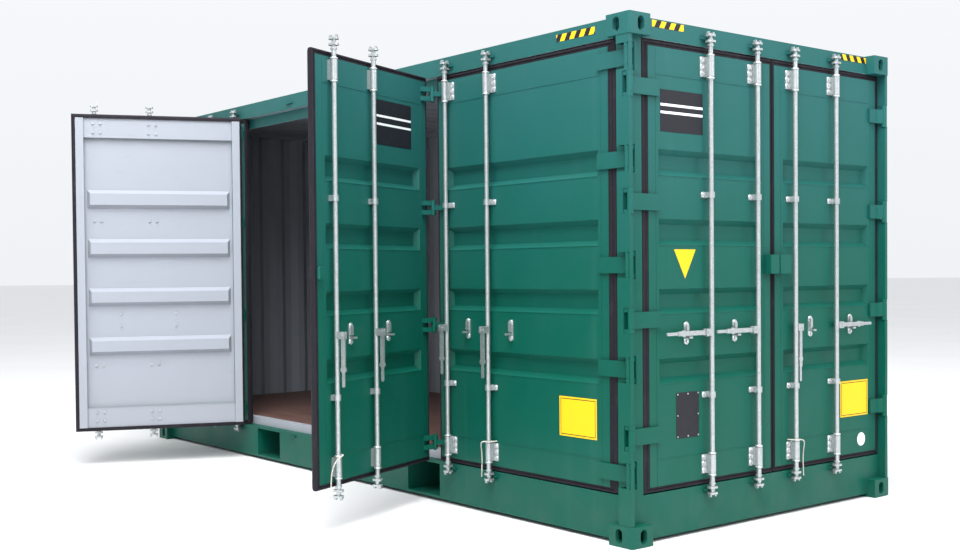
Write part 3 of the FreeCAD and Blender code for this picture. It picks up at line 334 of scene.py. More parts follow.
def two_tone(name, inward, dull=0.0):
    """Green outside and light inside, told apart by the way a face looks; `dull` greys the inside as painted
    shade.
    """
    n = Nodes(name)
    paint_bump(n)
    mask = n.ramp(n.facing(inward), 0.12, 0.16)
    # Painted shade: `dull` mixes the lining towards a dark grey.
    inside = n.mix(dull, lining_colour(n), (0.16, 0.18, 0.20))
    colour = n.mix(mask, paint_colour(n), inside)
    rough = n.ramp(n.noise(4.0, detail=4.0), 0.3, 0.7, 0.36, 0.50)
    return n.finish(colour, rough, specular=PAINT_SPECULAR)


def lining_paint():
    n = Nodes("lining_paint")
    paint_bump(n)
    return n.finish(lining_colour(n), n.ramp(n.noise(5.0), 0.3, 0.7, 0.42, 0.56))


def zinc():
    """Hot-dip galvanised steel with a fine spangle, and duller grey where it is handled."""
    n = Nodes("galvanised_steel")
    c = colours()
    spangle = n.cells(170.0).outputs["Color"]
    grey = n.tree.nodes.new("ShaderNodeRGBToBW")
    n.link(spangle, grey.inputs[0])
    tone = n.mix(n.ramp(grey.outputs[0], 0.2, 0.8), tuple(c.zinc), (0.49, 0.52, 0.53))
    dull = n.ramp(n.noise(30.0, detail=5.0), 0.50, 0.78, 0.0, 0.42)
    tone = n.mix(dull, tone, (0.26, 0.28, 0.29))
    n.bump(n.noise(300.0, detail=2.0), 0.0005, strength=0.15)
    return n.finish(tone, n.ramp(n.noise(60.0), 0.3, 0.7, 0.30, 0.46), metallic=0.72)


def bright_zinc():
    """Lighter copy of the galvanised steel, a painted highlight for the bolt heads and collars."""
    n = Nodes("bright_zinc")
    n.bump(n.noise(260.0, detail=2.0), 0.0003, strength=0.10)
    # Painted highlight: these tones are lighter than the galvanised steel of the brackets the bolts sit on.
    tone = n.mix(n.ramp(n.noise(70.0, detail=3.0), 0.40, 0.75), (0.66, 0.69, 0.70), (0.50, 0.53, 0.54))
    return n.finish(tone, n.ramp(n.noise(60.0), 0.3, 0.7, 0.26, 0.38), metallic=0.72)


def rubber():
    n = Nodes("seal_rubber")
    c = colours()
    bloom = n.ramp(n.noise(18.0, detail=6.0, stretch=(1.0, 1.0, 0.5)), 0.50, 0.80, 0.0, 0.5)
    n.bump(n.noise(180.0, detail=3.0), 0.0006, strength=0.25)
    return n.finish(n.mix(bloom, tuple(c.rubber), (0.034, 0.030, 0.038)),
                    n.ramp(n.noise(30.0), 0.3, 0.7, 0.52, 0.70), specular=0.18)


BOARD_WIDE, BOARD_LONG = 0.30, 1.22


def deck_plywood():
    """Red-brown boards that run along the box, with grain and dark joints."""
    n = Nodes("deck_plywood")
    c = colours()
    grain = n.noise(34.0, detail=7.0, stretch=(0.06, 1.0, 1.0), rough=0.62)
    colour = n.mix(n.ramp(grain, 0.32, 0.70), tuple(c.plywood), (0.130, 0.070, 0.056))
    board = n.math("DIVIDE", n.axis(1), BOARD_WIDE)
    tone = n.tree.nodes.new("ShaderNodeTexWhiteNoise")
    tone.noise_dimensions = "1D"
    n.link(n.math("FLOOR", board), tone.inputs["W"])
    colour = n.mix(n.math("MULTIPLY", tone.outputs["Value"], 0.35), colour, (0.10, 0.042, 0.032))
    along = n.math("FRACT", board)
    edge = n.math("ABSOLUTE", n.math("SUBTRACT", along, 0.5))
    joint = n.ramp(edge, 0.485, 0.495)
    length = n.math("FRACT", n.math("DIVIDE", n.axis(0), BOARD_LONG))
    across = n.math("ABSOLUTE", n.math("SUBTRACT", length, 0.5))
    joint = n.math("MAXIMUM", joint, n.ramp(across, 0.4965, 0.4985))
    colour = n.mix(joint, colour, (0.02, 0.012, 0.01))
    n.bump(grain, 0.0012, strength=0.3)
    return n.finish(colour, n.ramp(grain, 0.3, 0.7, 0.46, 0.62))


def underbody():
    n = Nodes("underbody_coating")
    c = colours()
    n.bump(n.noise(90.0, detail=5.0), 0.002, strength=0.4)
    return n.finish(n.mix(n.ramp(n.noise(8.0), 0.3, 0.7), tuple(c.underbody), (0.06, 0.058, 0.05)),
                    n.ramp(n.noise(12.0), 0.3, 0.7, 0.60, 0.82))


def marking(name, colour, roughness=0.42):
    """Vinyl or enamel marking, slightly scuffed."""
    n = Nodes(name)
    scuff = n.ramp(n.noise(55.0, detail=6.0), 0.60, 0.78, 0.0, 0.30)
    worn = tuple(0.75 * v + 0.03 for v in colour)
    n.bump(n.noise(200.0), 0.0004, strength=0.1)
    rough = n.ramp(n.noise(20.0), 0.3, 0.7, roughness, roughness + 0.1)
    return n.finish(n.mix(scuff, tuple(colour), worn), rough, specular=MARKING_SPECULAR)


STRIPE_LEAN, STRIPE_PITCH = 0.55, 0.079


def hazard_marking(name, along):
    """Slanted black and yellow stripes; `along` is 0 for X or 1 for Y."""
    n = Nodes(name)
    c = colours()
    across = n.math("ABSOLUTE", n.axis(along))
    lean = -STRIPE_LEAN if along == 0 else STRIPE_LEAN
    slant = n.math("ADD", across, n.math("MULTIPLY", n.axis(2), lean))
    stripe = n.math("FRACT", n.math("DIVIDE", slant, STRIPE_PITCH))
    black = n.math("GREATER_THAN", stripe, 0.5)
    colour = n.mix(black, tuple(c.yellow), tuple(c.dark))
    return n.finish(colour, n.ramp(n.noise(20.0), 0.3, 0.7, 0.40, 0.50), specular=MARKING_SPECULAR)


def rope_fibre():
    n = Nodes("rope_fibre")
    c = colours()
    wave = n.tree.nodes.new("ShaderNodeTexWave")
    wave.inputs["Scale"].default_value = 60.0
    wave.inputs["Distortion"].default_value = 2.0
    wave.bands_direction = "DIAGONAL"
    n.link(n.object, wave.inputs["Vector"])
    n.bump(wave.outputs["Fac"], 0.0012, strength=0.6)
    return n.finish(n.mix(n.ramp(wave.outputs["Fac"], 0.2, 0.8), tuple(c.rope), (0.38, 0.36, 0.30)),
                    n.ramp(n.noise(90.0), 0.3, 0.7, 0.72, 0.90))


def studio_ground():
    n = Nodes("studio_ground")
    c = colours()
    return n.finish(n.mix(n.ramp(n.noise(0.5), 0.3, 0.7), tuple(c.ground), (0.68, 0.68, 0.68)),
                    n.ramp(n.noise(2.0), 0.3, 0.7, 0.70, 0.76))


_made = {}


def material(name, maker, *args):
    """Make a material once and keep it."""
    if name not in _made:
        _made[name] = maker(*args)
    return _made[name]


def leaf_paint(name):
    """Two-tone paint for a leaf, light on the side that looks into the box."""
    leaf = LEAVES[name]
    inward = (leaf["matrix"].to_3x3() @ Vector((0, 1, 0))).normalized()
    return material("paint_" + name, two_tone, "paint_" + name, tuple(inward))


def green():
    return material("green", green_paint)


def steel():
    return material("zinc", zinc)


def highlight_steel():
    return material("bright_zinc", bright_zinc)


def seal():
    return material("rubber", rubber)


def plain_marking(key):
    return material("marking_" + key, marking, "marking_" + key, tuple(getattr(colours(), key)))


# ---------------------------------------------------------------------------
# Mesh helpers
# ---------------------------------------------------------------------------
def add_box(bm, x0, x1, y0, y1, z0, z1, matrix=None, bevel=0.0):
    """Box between two corners, optionally bevelled, moved by a matrix."""
    centre = Vector(((x0 + x1) / 2, (y0 + y1) / 2, (z0 + z1) / 2))
    scale = Matrix.Diagonal((abs(x1 - x0), abs(y1 - y0), abs(z1 - z0), 1.0))
    made = bmesh.ops.create_cube(bm, size=1.0, matrix=Matrix.Translation(centre) @ scale)
    verts = made["verts"]
    if bevel:
        edges = list({edge for vert in verts for edge in vert.link_edges})
        cut = bmesh.ops.bevel(bm, geom=edges, offset=bevel, segments=2, affect="EDGES",
                              profile=0.5, material=-1, offset_type="OFFSET")
        verts = list(set(cut["verts"]) | {v for v in verts if v.is_valid})
    if matrix is not None:
        bmesh.ops.transform(bm, matrix=matrix, verts=verts)
    return verts


def add_stud(bm, place, radius, height, matrix, sides=6, washer=True):
    """Bolt head standing out of a face, on leaf coordinates with outside at -y."""
    turn = Matrix.Rotation(math.radians(90), 4, "X")
    at = Matrix.Translation(place)
    if washer:
        disc = Matrix.Translation((0, -0.0012, 0)) @ turn
        bmesh.ops.create_cone(bm, cap_ends=True, segments=16, radius1=radius * 1.55, radius2=radius * 1.45,
                              depth=0.0024, matrix=matrix @ at @ disc)
    head = Matrix.Translation((0, -height / 2 - 0.001, 0)) @ turn
    bmesh.ops.create_cone(bm, cap_ends=True, segments=sides, radius1=radius, radius2=radius * 0.86,
                          depth=height, matrix=matrix @ at @ head)


def add_ring(bm, centre, radius, thickness, segments=24, sides=10):
    """Level ring made by spinning a small upright circle."""
    tilt = Matrix.Rotation(math.radians(90), 4, "X")
    upright = Matrix.Translation(centre + Vector((radius, 0, 0))) @ tilt
    verts = bmesh.ops.create_circle(bm, segments=sides, radius=thickness, matrix=upright)["verts"]
    edges = list({edge for vert in verts for edge in vert.link_edges})
    bmesh.ops.spin(bm, geom=verts + edges, cent=centre, axis=(0, 0, 1), angle=math.tau, steps=segments,
                   use_merge=True, use_duplicate=False)


def make_piece(name, bm, finish, body, smooth=False, replaces=()):
    """Turn a bmesh into a piece that rides on a body."""
    bmesh.ops.recalc_face_normals(bm, faces=bm.faces)
    mesh = bpy.data.meshes.new(name)
    bm.to_mesh(mesh)
    bm.free()
    mesh.materials.append(finish)
    piece = bpy.data.objects.new(name, mesh)
    bpy.context.scene.collection.objects.link(piece)
    if smooth:
        for polygon in mesh.polygons:
            polygon.use_smooth = True
        mesh.set_sharp_from_angle(angle=math.radians(38))
    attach(piece, body)
    if replaces:
        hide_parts(*replaces)
    return piece


def paint_node(name, finish):
    """Give a CAD node its finish."""
    slots = NODES[name].data.materials
    slots.clear()
    slots.append(finish)


def require(condition, message):
    """Stop the script with a plain message."""
    if not condition:
        raise RuntimeError(message)


# ---------------------------------------------------------------------------
# Stage
# ---------------------------------------------------------------------------
CAMERA_PLACE = (7.5639, -5.9062, 1.5022)
CAMERA_YAW, CAMERA_PITCH, CAMERA_ROLL = 141.054, -1.277, -0.4905
CAMERA_LENS, CAMERA_SHIFT = 45.33, (-0.00275, 0.0224)
HORIZON_STRENGTH, OVERHEAD_STRENGTH = 0.92, 1.14
GROUND_SIZE = 400.0
LIGHTS = (
    # name, place, aim, diameter, watts
    ("top_light", (4.5, -4.5, 12.0), (1.0, -1.0, 0.0), 9.0, 2600.0),
    ("key_light", (9.0, -9.0, 9.5), (1.5, -0.8, 1.6), 6.0, 700.0),
    ("end_light", (11.0, 4.0, 6.5), (2.9, 0.2, 1.6), 5.0, 330.0),
)


class CONTAINER_OT_stage(bpy.types.Operator):
    """Camera, soft lights and a plain pale floor"""
    bl_idname = "container.stage"
    bl_label = "Stage"

    def execute(self, context):
        self.camera(context)
        self.ground(context)
        self.lights(context)
        context.scene.view_settings.view_transform = "Standard"
        return {"FINISHED"}

    def camera(self, context):
        yaw, pitch, roll = (math.radians(v) for v in (CAMERA_YAW, CAMERA_PITCH, CAMERA_ROLL))
        ahead = Vector((math.cos(yaw) * math.cos(pitch), math.sin(yaw) * math.cos(pitch), math.sin(pitch)))
        right = Vector((math.sin(yaw), -math.cos(yaw), 0))
        up = right.cross(ahead)
        right, up = (math.cos(roll) * right + math.sin(roll) * up,
                     -math.sin(roll) * right + math.cos(roll) * up)
        rotation = Matrix((right, up, -ahead)).transposed()
        data = bpy.data.cameras.new("camera")
        data.lens = CAMERA_LENS
        data.shift_x, data.shift_y = CAMERA_SHIFT
        data.clip_end = 200.0
        camera = bpy.data.objects.new("camera", data)
        context.scene.collection.objects.link(camera)
        camera.matrix_world = Matrix.Translation(CAMERA_PLACE) @ rotation.to_4x4()
        context.scene.camera = camera

    def ground(self, context):
        bm = bmesh.new()
        bmesh.ops.create_grid(bm, x_segments=8, y_segments=8, size=GROUND_SIZE)
        mesh = bpy.data.meshes.new("studio_floor")
        bm.to_mesh(mesh)
        bm.free()
        mesh.materials.append(material("ground", studio_ground))
        floor = bpy.data.objects.new("studio_floor", mesh)
        context.scene.collection.objects.link(floor)

    def sky(self, context):
        """Soft dome, brighter overhead than at the horizon."""
        world = bpy.data.worlds.new("studio_world")
        world.use_nodes = True
        tree = world.node_tree
        background = tree.nodes["Background"]
        coords = tree.nodes.new("ShaderNodeTexCoord")
        split = tree.nodes.new("ShaderNodeSeparateXYZ")
        tree.links.new(coords.outputs["Generated"], split.inputs[0])
        climb = tree.nodes.new("ShaderNodeMapRange")
        for key, value in (("From Min", 0.0), ("From Max", 0.9),
                           ("To Min", HORIZON_STRENGTH), ("To Max", OVERHEAD_STRENGTH)):
            climb.inputs[key].default_value = value
        tree.links.new(split.outputs[2], climb.inputs["Value"])
        tree.links.new(climb.outputs["Result"], background.inputs["Strength"])
        background.inputs["Color"].default_value = (0.95, 0.97, 1.0, 1.0)
        context.scene.world = world

    def lights(self, context):
        self.sky(context)
        for name, place, aim, size, watts in LIGHTS:
            data = bpy.data.lights.new(name, "AREA")
            data.shape = "DISK"
            data.size = size
            data.energy = watts
            lamp = bpy.data.objects.new(name, data)
            context.scene.collection.objects.link(lamp)
            lamp.location = place
            lamp.rotation_mode = "QUATERNION"
            lamp.rotation_quaternion = (Vector(aim) - Vector(place)).to_track_quat("-Z", "Y")


# ---------------------------------------------------------------------------
# Paint on the carried-over nodes
# ---------------------------------------------------------------------------
# Share of painted shade greying the lining of the box's own walls, roof, headers and posts inside.
LINED_PAINTED_SHADE = 0.55
LINED_NODES = {                       # nodes with a lined side, and the way that side looks
    "rear_side_wall": (0.0, -1.0, 0.0), "closed_end_wall": (1.0, 0.0, 0.0), "roof": (0.0, 0.0, -1.0),
    "rear_top_rail": (0.0, -1.0, 0.0), "closed_end_header": (1.0, 0.0, 0.0),
    "side_header": (0.0, 0.94, -0.34), "door_header": (-0.94, 0.0, -0.34),
    "closed_end_posts": (1.0, 0.0, 0.0),
}


class CONTAINER_OT_paint(bpy.types.Operator):
    """Finish of every node of the frame"""
    bl_idname = "container.paint"
    bl_label = "Paint"

    def execute(self, context):
        for name in NODES:
            paint_node(name, self.finish_for(name))
        return {"FINISHED"}

    def finish_for(self, name):
        if name in LEAVES:
            return leaf_paint(name)
        if name.endswith("_leaf"):
            return leaf_paint(name[:-len("_leaf")])
        if "gasket" in name:
            return seal()
        if "brackets" in name or "_rod_" in name or "_handle_" in name or name == "far_leaf_lock_gear":
            return steel()
        if name in LINED_NODES:
            return material("paint_" + name, two_tone, "paint_" + name, LINED_NODES[name], LINED_PAINTED_SHADE)
        if name == "floor":
            return material("plywood", deck_plywood)
        if name == "side_threshold":
            return material("lining", lining_paint)
        if name == "crossmembers":
            return material("underbody", underbody)
        return green()


# ---------------------------------------------------------------------------
# Seals
# ---------------------------------------------------------------------------
SEAL_SECTION = (                      # share of the width out from the leaf, depth behind its face
    (0.0, 0.004), (0.0, 0.0025), (0.22, 0.0020), (0.34, 0.0075), (0.46, 0.0080),
    (0.58, 0.0020), (0.80, 0.0012), (0.94, 0.0040), (1.0, 0.0110), (0.96, 0.0300),
    (0.55, 0.0440), (0.0, 0.0440))
SEAL_BELOW, SEAL_ABOVE = 0.030, 0.032


class CONTAINER_OT_seals(bpy.types.Operator):
    """Lipped rubber seal round every leaf"""
    bl_idname = "container.seals"
    bl_label = "Seals"

    def execute(self, context):
        for name in ("end_left", "end_right"):
            bm = bmesh.new()
            self.ring(bm, LEAVES[name])
            make_piece(name + "_seal", bm, seal(), LEAVES[name]["body"],
                       smooth=True, replaces=[name + "_gasket"])
        bm = bmesh.new()
        for name in ("side_leaf_1", "side_leaf_2", "side_leaf_3", "side_leaf_4"):
            self.ring(bm, LEAVES[name])
        make_piece("side_leaf_seals", bm, seal(), "root",
                   smooth=True, replaces=["side_leaf_gaskets"])
        return {"FINISHED"}

    def ring(self, bm, leaf):
        """Join one rectangle to the next, edge by edge, round the seal's section."""
        loops = []
        for share, depth in SEAL_SECTION:
            x0, x1 = leaf["x0"] - share * leaf["left"], leaf["x1"] + share * leaf["right"]
            z0, z1 = LEAF_LOW - share * SEAL_BELOW, LEAF_HIGH + share * SEAL_ABOVE
            corners = [(x0, z0), (x1, z0), (x1, z1), (x0, z1)]
            verts = [bm.verts.new(leaf["matrix"] @ Vector((x, depth, z))) for x, z in corners]
            loops.append([bm.edges.new((verts[i], verts[(i + 1) % 4])) for i in range(4)])
        for first, second in zip(loops, loops[1:] + loops[:1]):
            for pair in zip(first, second):
                bmesh.ops.contextual_create(bm, geom=list(pair))


# ---------------------------------------------------------------------------
# Welds and pressed lips on the leaves
# ---------------------------------------------------------------------------
SEAM_PROUD, SEAM_SINK = 0.0022, 0.0005
SEAM_INNER_PROUD = 0.0015
SEAM_BEVEL, SEAM_INNER_BEVEL = 0.0009, 0.0006
SEAM_END_GAP = 0.004                  # upright seams stop this far from the leaf's ends


class CONTAINER_OT_seams(bpy.types.Operator):
    """Weld seams where each pressed sheet meets its frame, and the lips of its recesses"""
    bl_idname = "container.seams"
    bl_label = "Seams"

    def execute(self, context):
        for name, leaf in LEAVES.items():
            bm = bmesh.new()
            self.seams(bm, leaf)
            make_piece(name + "_seams", bm, leaf_paint(name), leaf["body"])
        return {"FINISHED"}

    def seams(self, bm, leaf):
        width = sizes().seam_width
        x0, x1 = leaf["x0"] + STILE, leaf["x1"] - STILE
        for z in (LEAF_LOW + RAIL_HEIGHT, LEAF_HIGH - RAIL_HEIGHT):
            low, high = z - width / 2, z + width / 2
            add_box(bm, x0, x1, -SEAM_PROUD, SEAM_SINK, low, high, leaf["matrix"], bevel=SEAM_BEVEL)
            add_box(bm, x0, x1, RAIL_DEPTH - SEAM_SINK, RAIL_DEPTH + SEAM_INNER_PROUD, low, high,
                    leaf["matrix"], bevel=SEAM_INNER_BEVEL)
        for x in (x0, x1):
            add_box(bm, x - width / 4, x + width / 4, -SEAM_PROUD / 2, SEAM_SINK,
                    LEAF_LOW + SEAM_END_GAP, LEAF_HIGH - SEAM_END_GAP, leaf["matrix"])
        for low, _ in RECESS_BANDS:
            add_box(bm, x0 + RECESS_MARGIN, x1 - RECESS_MARGIN, -SEAM_PROUD, SEAM_SINK,
                    low - width / 2, low + width / 4, leaf["matrix"], bevel=SEAM_BEVEL)


# ---------------------------------------------------------------------------
# Bolts
# ---------------------------------------------------------------------------
BRACKET_FLANGE_MID, GUIDE_FLANGE_MID = 0.038, 0.035
FLANGE_FACE = -0.007
BOLT_SHARES = (0.16, 0.5, 0.84)       # places of the three bolts along a bracket
CRADLE_FROM_ROD = 0.184               # rod to the handle cradle
CRADLE_BOLT = 0.047                   # handle line to each bolt of the cradle
NUT_PAIR, NUT_FROM_END, NUT_HEIGHT = 0.028, 0.022, 0.008


class CONTAINER_OT_bolts(bpy.types.Operator):
    """Bolts through the rod brackets and their nuts inside the leaves"""
    bl_idname = "container.bolts"
    bl_label = "Bolts"

    def execute(self, context):
        for name, leaf in LEAVES.items():
            bm = bmesh.new()
            for x in leaf["rods"]:
                self.outer(bm, leaf, x)
            # Bolt heads take the lighter zinc, a painted highlight.
            make_piece(name + "_bolts", bm, highlight_steel(), leaf["body"])
            bm = bmesh.new()
            for x in leaf["rods"]:
                self.inner(bm, leaf, x)
            make_piece(name + "_nuts", bm, steel(), leaf["body"])
        return {"FINISHED"}

    def outer(self, bm, leaf, x):
        bracket = x + leaf["flange"] * BRACKET_FLANGE_MID
        guide = x + leaf["flange"] * GUIDE_FLANGE_MID
        cradle = x + leaf["side"] * CRADLE_FROM_ROD
        places = [(bracket, low + (high - low) * share) for low, high in BRACKETS for share in BOLT_SHARES]
        places += [(guide, z + GUIDE_TALL / 2) for z in GUIDES]
        places += [(cradle, HANDLE_Z + dz) for dz in (-CRADLE_BOLT, CRADLE_BOLT)]
        for across, z in places:
            add_stud(bm, (across, FLANGE_FACE, z), sizes().bolt_radius, sizes().bolt_height, leaf["matrix"])

    def inner(self, bm, leaf, x):
        """Nuts on the inner face of the rails, and of the sheet between them."""
        flip = Matrix.Diagonal((1, -1, 1, 1))
        rail = leaf["matrix"] @ Matrix.Translation((0, RAIL_DEPTH, 0)) @ flip
        sheet = leaf["matrix"] @ Matrix.Translation((0, SHEET, 0)) @ flip
        middle = x + leaf["flange"] * BRACKET_FLANGE_MID / 2
        pair = (middle - NUT_PAIR, middle + NUT_PAIR)
        cradle = x + leaf["side"] * CRADLE_FROM_ROD
        heights = [z for low, high in BRACKETS for z in (low + NUT_FROM_END, high - NUT_FROM_END)]
        nuts = [(across, z, rail) for z in heights for across in pair]
        nuts += [(across, z + GUIDE_TALL / 2, sheet) for z in GUIDES for across in pair]
        nuts += [(cradle, HANDLE_Z + dz, sheet) for dz in (-CRADLE_BOLT, CRADLE_BOLT)]
        for across, z, matrix in nuts:
            add_stud(bm, (across, 0, z), sizes().nut_radius, NUT_HEIGHT, matrix, washer=False)


# ---------------------------------------------------------------------------
# Collars
# ---------------------------------------------------------------------------
COLLAR_GAP = 0.0015                   # collar to the end of a sleeve


class CONTAINER_OT_collars(bpy.types.Operator):
    """Rings that keep each lock rod from sliding in its brackets"""
    bl_idname = "container.collars"
    bl_label = "Collars"

    def execute(self, context):
        for name, leaf in LEAVES.items():
            for number, (x, body) in enumerate(zip(leaf["rods"], leaf["rod_bodies"]), 1):
                bm = bmesh.new()
                self.rings(bm, leaf, x)
                # Collars take the lighter zinc, a painted highlight.
                make_piece("%s_rod_%d_collars" % (name, number), bm, highlight_steel(), body,
                           smooth=True)
        return {"FINISHED"}

    def rings(self, bm, leaf, x):
        thick = sizes().collar_thickness
        away = thick + COLLAR_GAP
        for low, high in BRACKETS:
            for z in (low - away, high + away):
                add_ring(bm, leaf["matrix"] @ Vector((x, -ROD_OUT, z)), ROD_RADIUS + thick / 2, thick)


# ---------------------------------------------------------------------------
# Plates and stripes
# ---------------------------------------------------------------------------
PLATES = (
    # name, leaf, x low, x high, z low, z high, colour
    ("data_plate", "end_left", -0.800, -0.608, 0.556, 0.816, "dark"),
    ("yellow_plate_end", "end_right", 0.760, 1.062, 0.548, 0.780, "yellow"),
    ("yellow_plate_side", "side_leaf_1", 2.399, 2.706, 0.556, 0.785, "yellow"),
    ("dark_sign_end", "end_left", -0.919, -0.565, 2.276, 2.510, "dark"),
    ("dark_sign_side", "side_leaf_2", 0.632, 1.033, 2.288, 2.562, "dark"),
)
MARK_SINK = 0.0002                    # how far a marking reaches into the paint below it
PLATE_BEVEL = 0.0005
SIGN_STRIPES = (0.46, 0.64)           # heights of the two pale lines, as shares of a dark sign
STRIPE_INSET, STRIPE_HALF, STRIPE_PROUD = 0.002, 0.007, 0.0006
BORDER_INSET, BORDER_LINE, BORDER_PROUD = 0.010, 0.004, 0.0005
RIVET_INSET, RIVET_HEIGHT = 0.010, 0.003
TRIANGLE = (-0.811, -0.631, 1.459, 1.623)     # x low, x high, z of its point, z of its top edge
ROUND_LABEL, ROUND_LABEL_RADIUS = (0.989, 0.390), 0.043


class CONTAINER_OT_plates(bpy.types.Operator):
    """Blank plates, signs and labels on the leaves"""
    bl_idname = "container.plates"
    bl_label = "Plates"

    def execute(self, context):
        thick = sizes().plate_thickness
        for name, leaf_name, x0, x1, z0, z1, key in PLATES:
            leaf = LEAVES[leaf_name]
            bm = bmesh.new()
            add_box(bm, x0, x1, -thick, MARK_SINK, z0, z1, leaf["matrix"], bevel=PLATE_BEVEL)
            make_piece(name, bm, plain_marking(key), leaf["body"])
            if name.startswith("dark_sign"):
                self.lines(name, leaf, x0, x1, z0, z1, thick)
            if name.startswith("yellow_plate"):
                self.border(name, leaf, x0, x1, z0, z1, thick)
        self.rivets(thick)
        self.triangle(thick)
        self.round_label(thick)
        return {"FINISHED"}

    def lines(self, name, leaf, x0, x1, z0, z1, thick):
        """Two pale lines across a dark sign."""
        bm = bmesh.new()
        for share in SIGN_STRIPES:
            z = z0 + share * (z1 - z0)
            add_box(bm, x0 + STRIPE_INSET, x1 - STRIPE_INSET, -thick - STRIPE_PROUD, -thick,
                    z - STRIPE_HALF, z + STRIPE_HALF, leaf["matrix"])
        make_piece(name + "_lines", bm, plain_marking("white"), leaf["body"])

    def border(self, name, leaf, x0, x1, z0, z1, thick):
        """Dark line round the inside of a yellow plate."""
        bm = bmesh.new()
        low, high = -thick - BORDER_PROUD, -thick
        left, right, foot, top = x0 + BORDER_INSET, x1 - BORDER_INSET, z0 + BORDER_INSET, z1 - BORDER_INSET
        for z in (foot, top - BORDER_LINE):
            add_box(bm, left, right, low, high, z, z + BORDER_LINE, leaf["matrix"])
        for x in (left, right - BORDER_LINE):
            add_box(bm, x, x + BORDER_LINE, low, high, foot + BORDER_LINE, top - BORDER_LINE, leaf["matrix"])
        make_piece(name + "_border", bm, plain_marking("dark"), leaf["body"])

    def rivets(self, thick):
        """Eight rivets round the edge of the data plate, the first of the plates."""
        name, leaf_name, x0, x1, z0, z1, _ = PLATES[0]
        leaf = LEAVES[leaf_name]
        bm = bmesh.new()
        middle = ((x0 + x1) / 2, (z0 + z1) / 2)
        for x in (x0 + RIVET_INSET, middle[0], x1 - RIVET_INSET):
            for z in (z0 + RIVET_INSET, middle[1], z1 - RIVET_INSET):
                if (x, z) != middle:
                    add_stud(bm, (x, -thick, z), sizes().rivet_radius, RIVET_HEIGHT, leaf["matrix"],
                             sides=12, washer=False)
        make_piece(name + "_rivets", bm, steel(), leaf["body"])

    def triangle(self, thick):
        """Yellow triangle that points down."""
        leaf = LEAVES["end_left"]
        x0, x1, z0, z1 = TRIANGLE
        bm = bmesh.new()
        verts = [bm.verts.new((x, MARK_SINK, z)) for x, z in ((x0, z1), ((x0 + x1) / 2, z0), (x1, z1))]
        face = bm.faces.new(verts)
        pulled = bmesh.ops.extrude_face_region(bm, geom=[face])
        moved = [item for item in pulled["geom"] if isinstance(item, bmesh.types.BMVert)]
        bmesh.ops.translate(bm, verts=moved, vec=(0, -thick, 0))
        bmesh.ops.transform(bm, matrix=leaf["matrix"], verts=bm.verts)
        make_piece("yellow_triangle", bm, plain_marking("yellow"), leaf["body"])

    def round_label(self, thick):
        """Small white disc low on the right end door."""
        leaf = LEAVES["end_right"]
        x, z = ROUND_LABEL
        place = Matrix.Translation((x, -thick / 2, z)) @ Matrix.Rotation(math.radians(90), 4, "X")
        bm = bmesh.new()
        bmesh.ops.create_cone(bm, cap_ends=True, segments=40, radius1=ROUND_LABEL_RADIUS,
                              radius2=ROUND_LABEL_RADIUS, depth=thick, matrix=leaf["matrix"] @ place)
        make_piece("round_label", bm, plain_marking("white"), leaf["body"])


HEIGHT_MARK_PROUD = 0.0012
END_MARKS, END_MARK_HEIGHTS = ((-0.980, -0.722), (0.775, 1.050)), (2.846, 2.883)
SIDE_MARK, SIDE_MARK_HEIGHTS = (2.394, 2.709), (2.826, 2.866)


class CONTAINER_OT_stripes(bpy.types.Operator):
    """Black and yellow height stripes on the headers"""
    bl_idname = "container.stripes"
    bl_label = "Height stripes"

    def execute(self, context):
        bm = bmesh.new()
        for y0, y1 in END_MARKS:
            add_box(bm, END_FACE - MARK_SINK, END_FACE + HEIGHT_MARK_PROUD, y0, y1, *END_MARK_HEIGHTS)
        make_piece("end_height_stripes", bm, material("hazard_y", hazard_marking, "hazard_y", 1), "root")
        bm = bmesh.new()
        add_box(bm, *SIDE_MARK, SIDE_FACE - HEIGHT_MARK_PROUD, SIDE_FACE + MARK_SINK, *SIDE_MARK_HEIGHTS)
        make_piece("side_height_stripes", bm, material("hazard_x", hazard_marking, "hazard_x", 0), "root")
        return {"FINISHED"}


# ---------------------------------------------------------------------------
# Tie-back ropes
# ---------------------------------------------------------------------------
ROPE_DIAMETER, ROPE_LENGTH = 0.008, 0.350
ROPE_ROUTE = (                        # beside the rod, out from the leaf, height
    (-0.036, 0.0, 0.460), (-0.034, 0.046, 0.461), (0.008, 0.074, 0.463), (0.052, 0.060, 0.443),
    (0.067, 0.038, 0.384), (0.071, 0.033, 0.306), (0.074, 0.036, 0.230))
ROPES = (("end_right", 0), ("side_leaf_1", 1), ("side_leaf_2", 0))
STRANDS, STRAND_TURNS, STRAND_SIDES = 3, 22, 6
ROPE_PER_STRAND = 4.3                 # rope diameter over a strand's radius


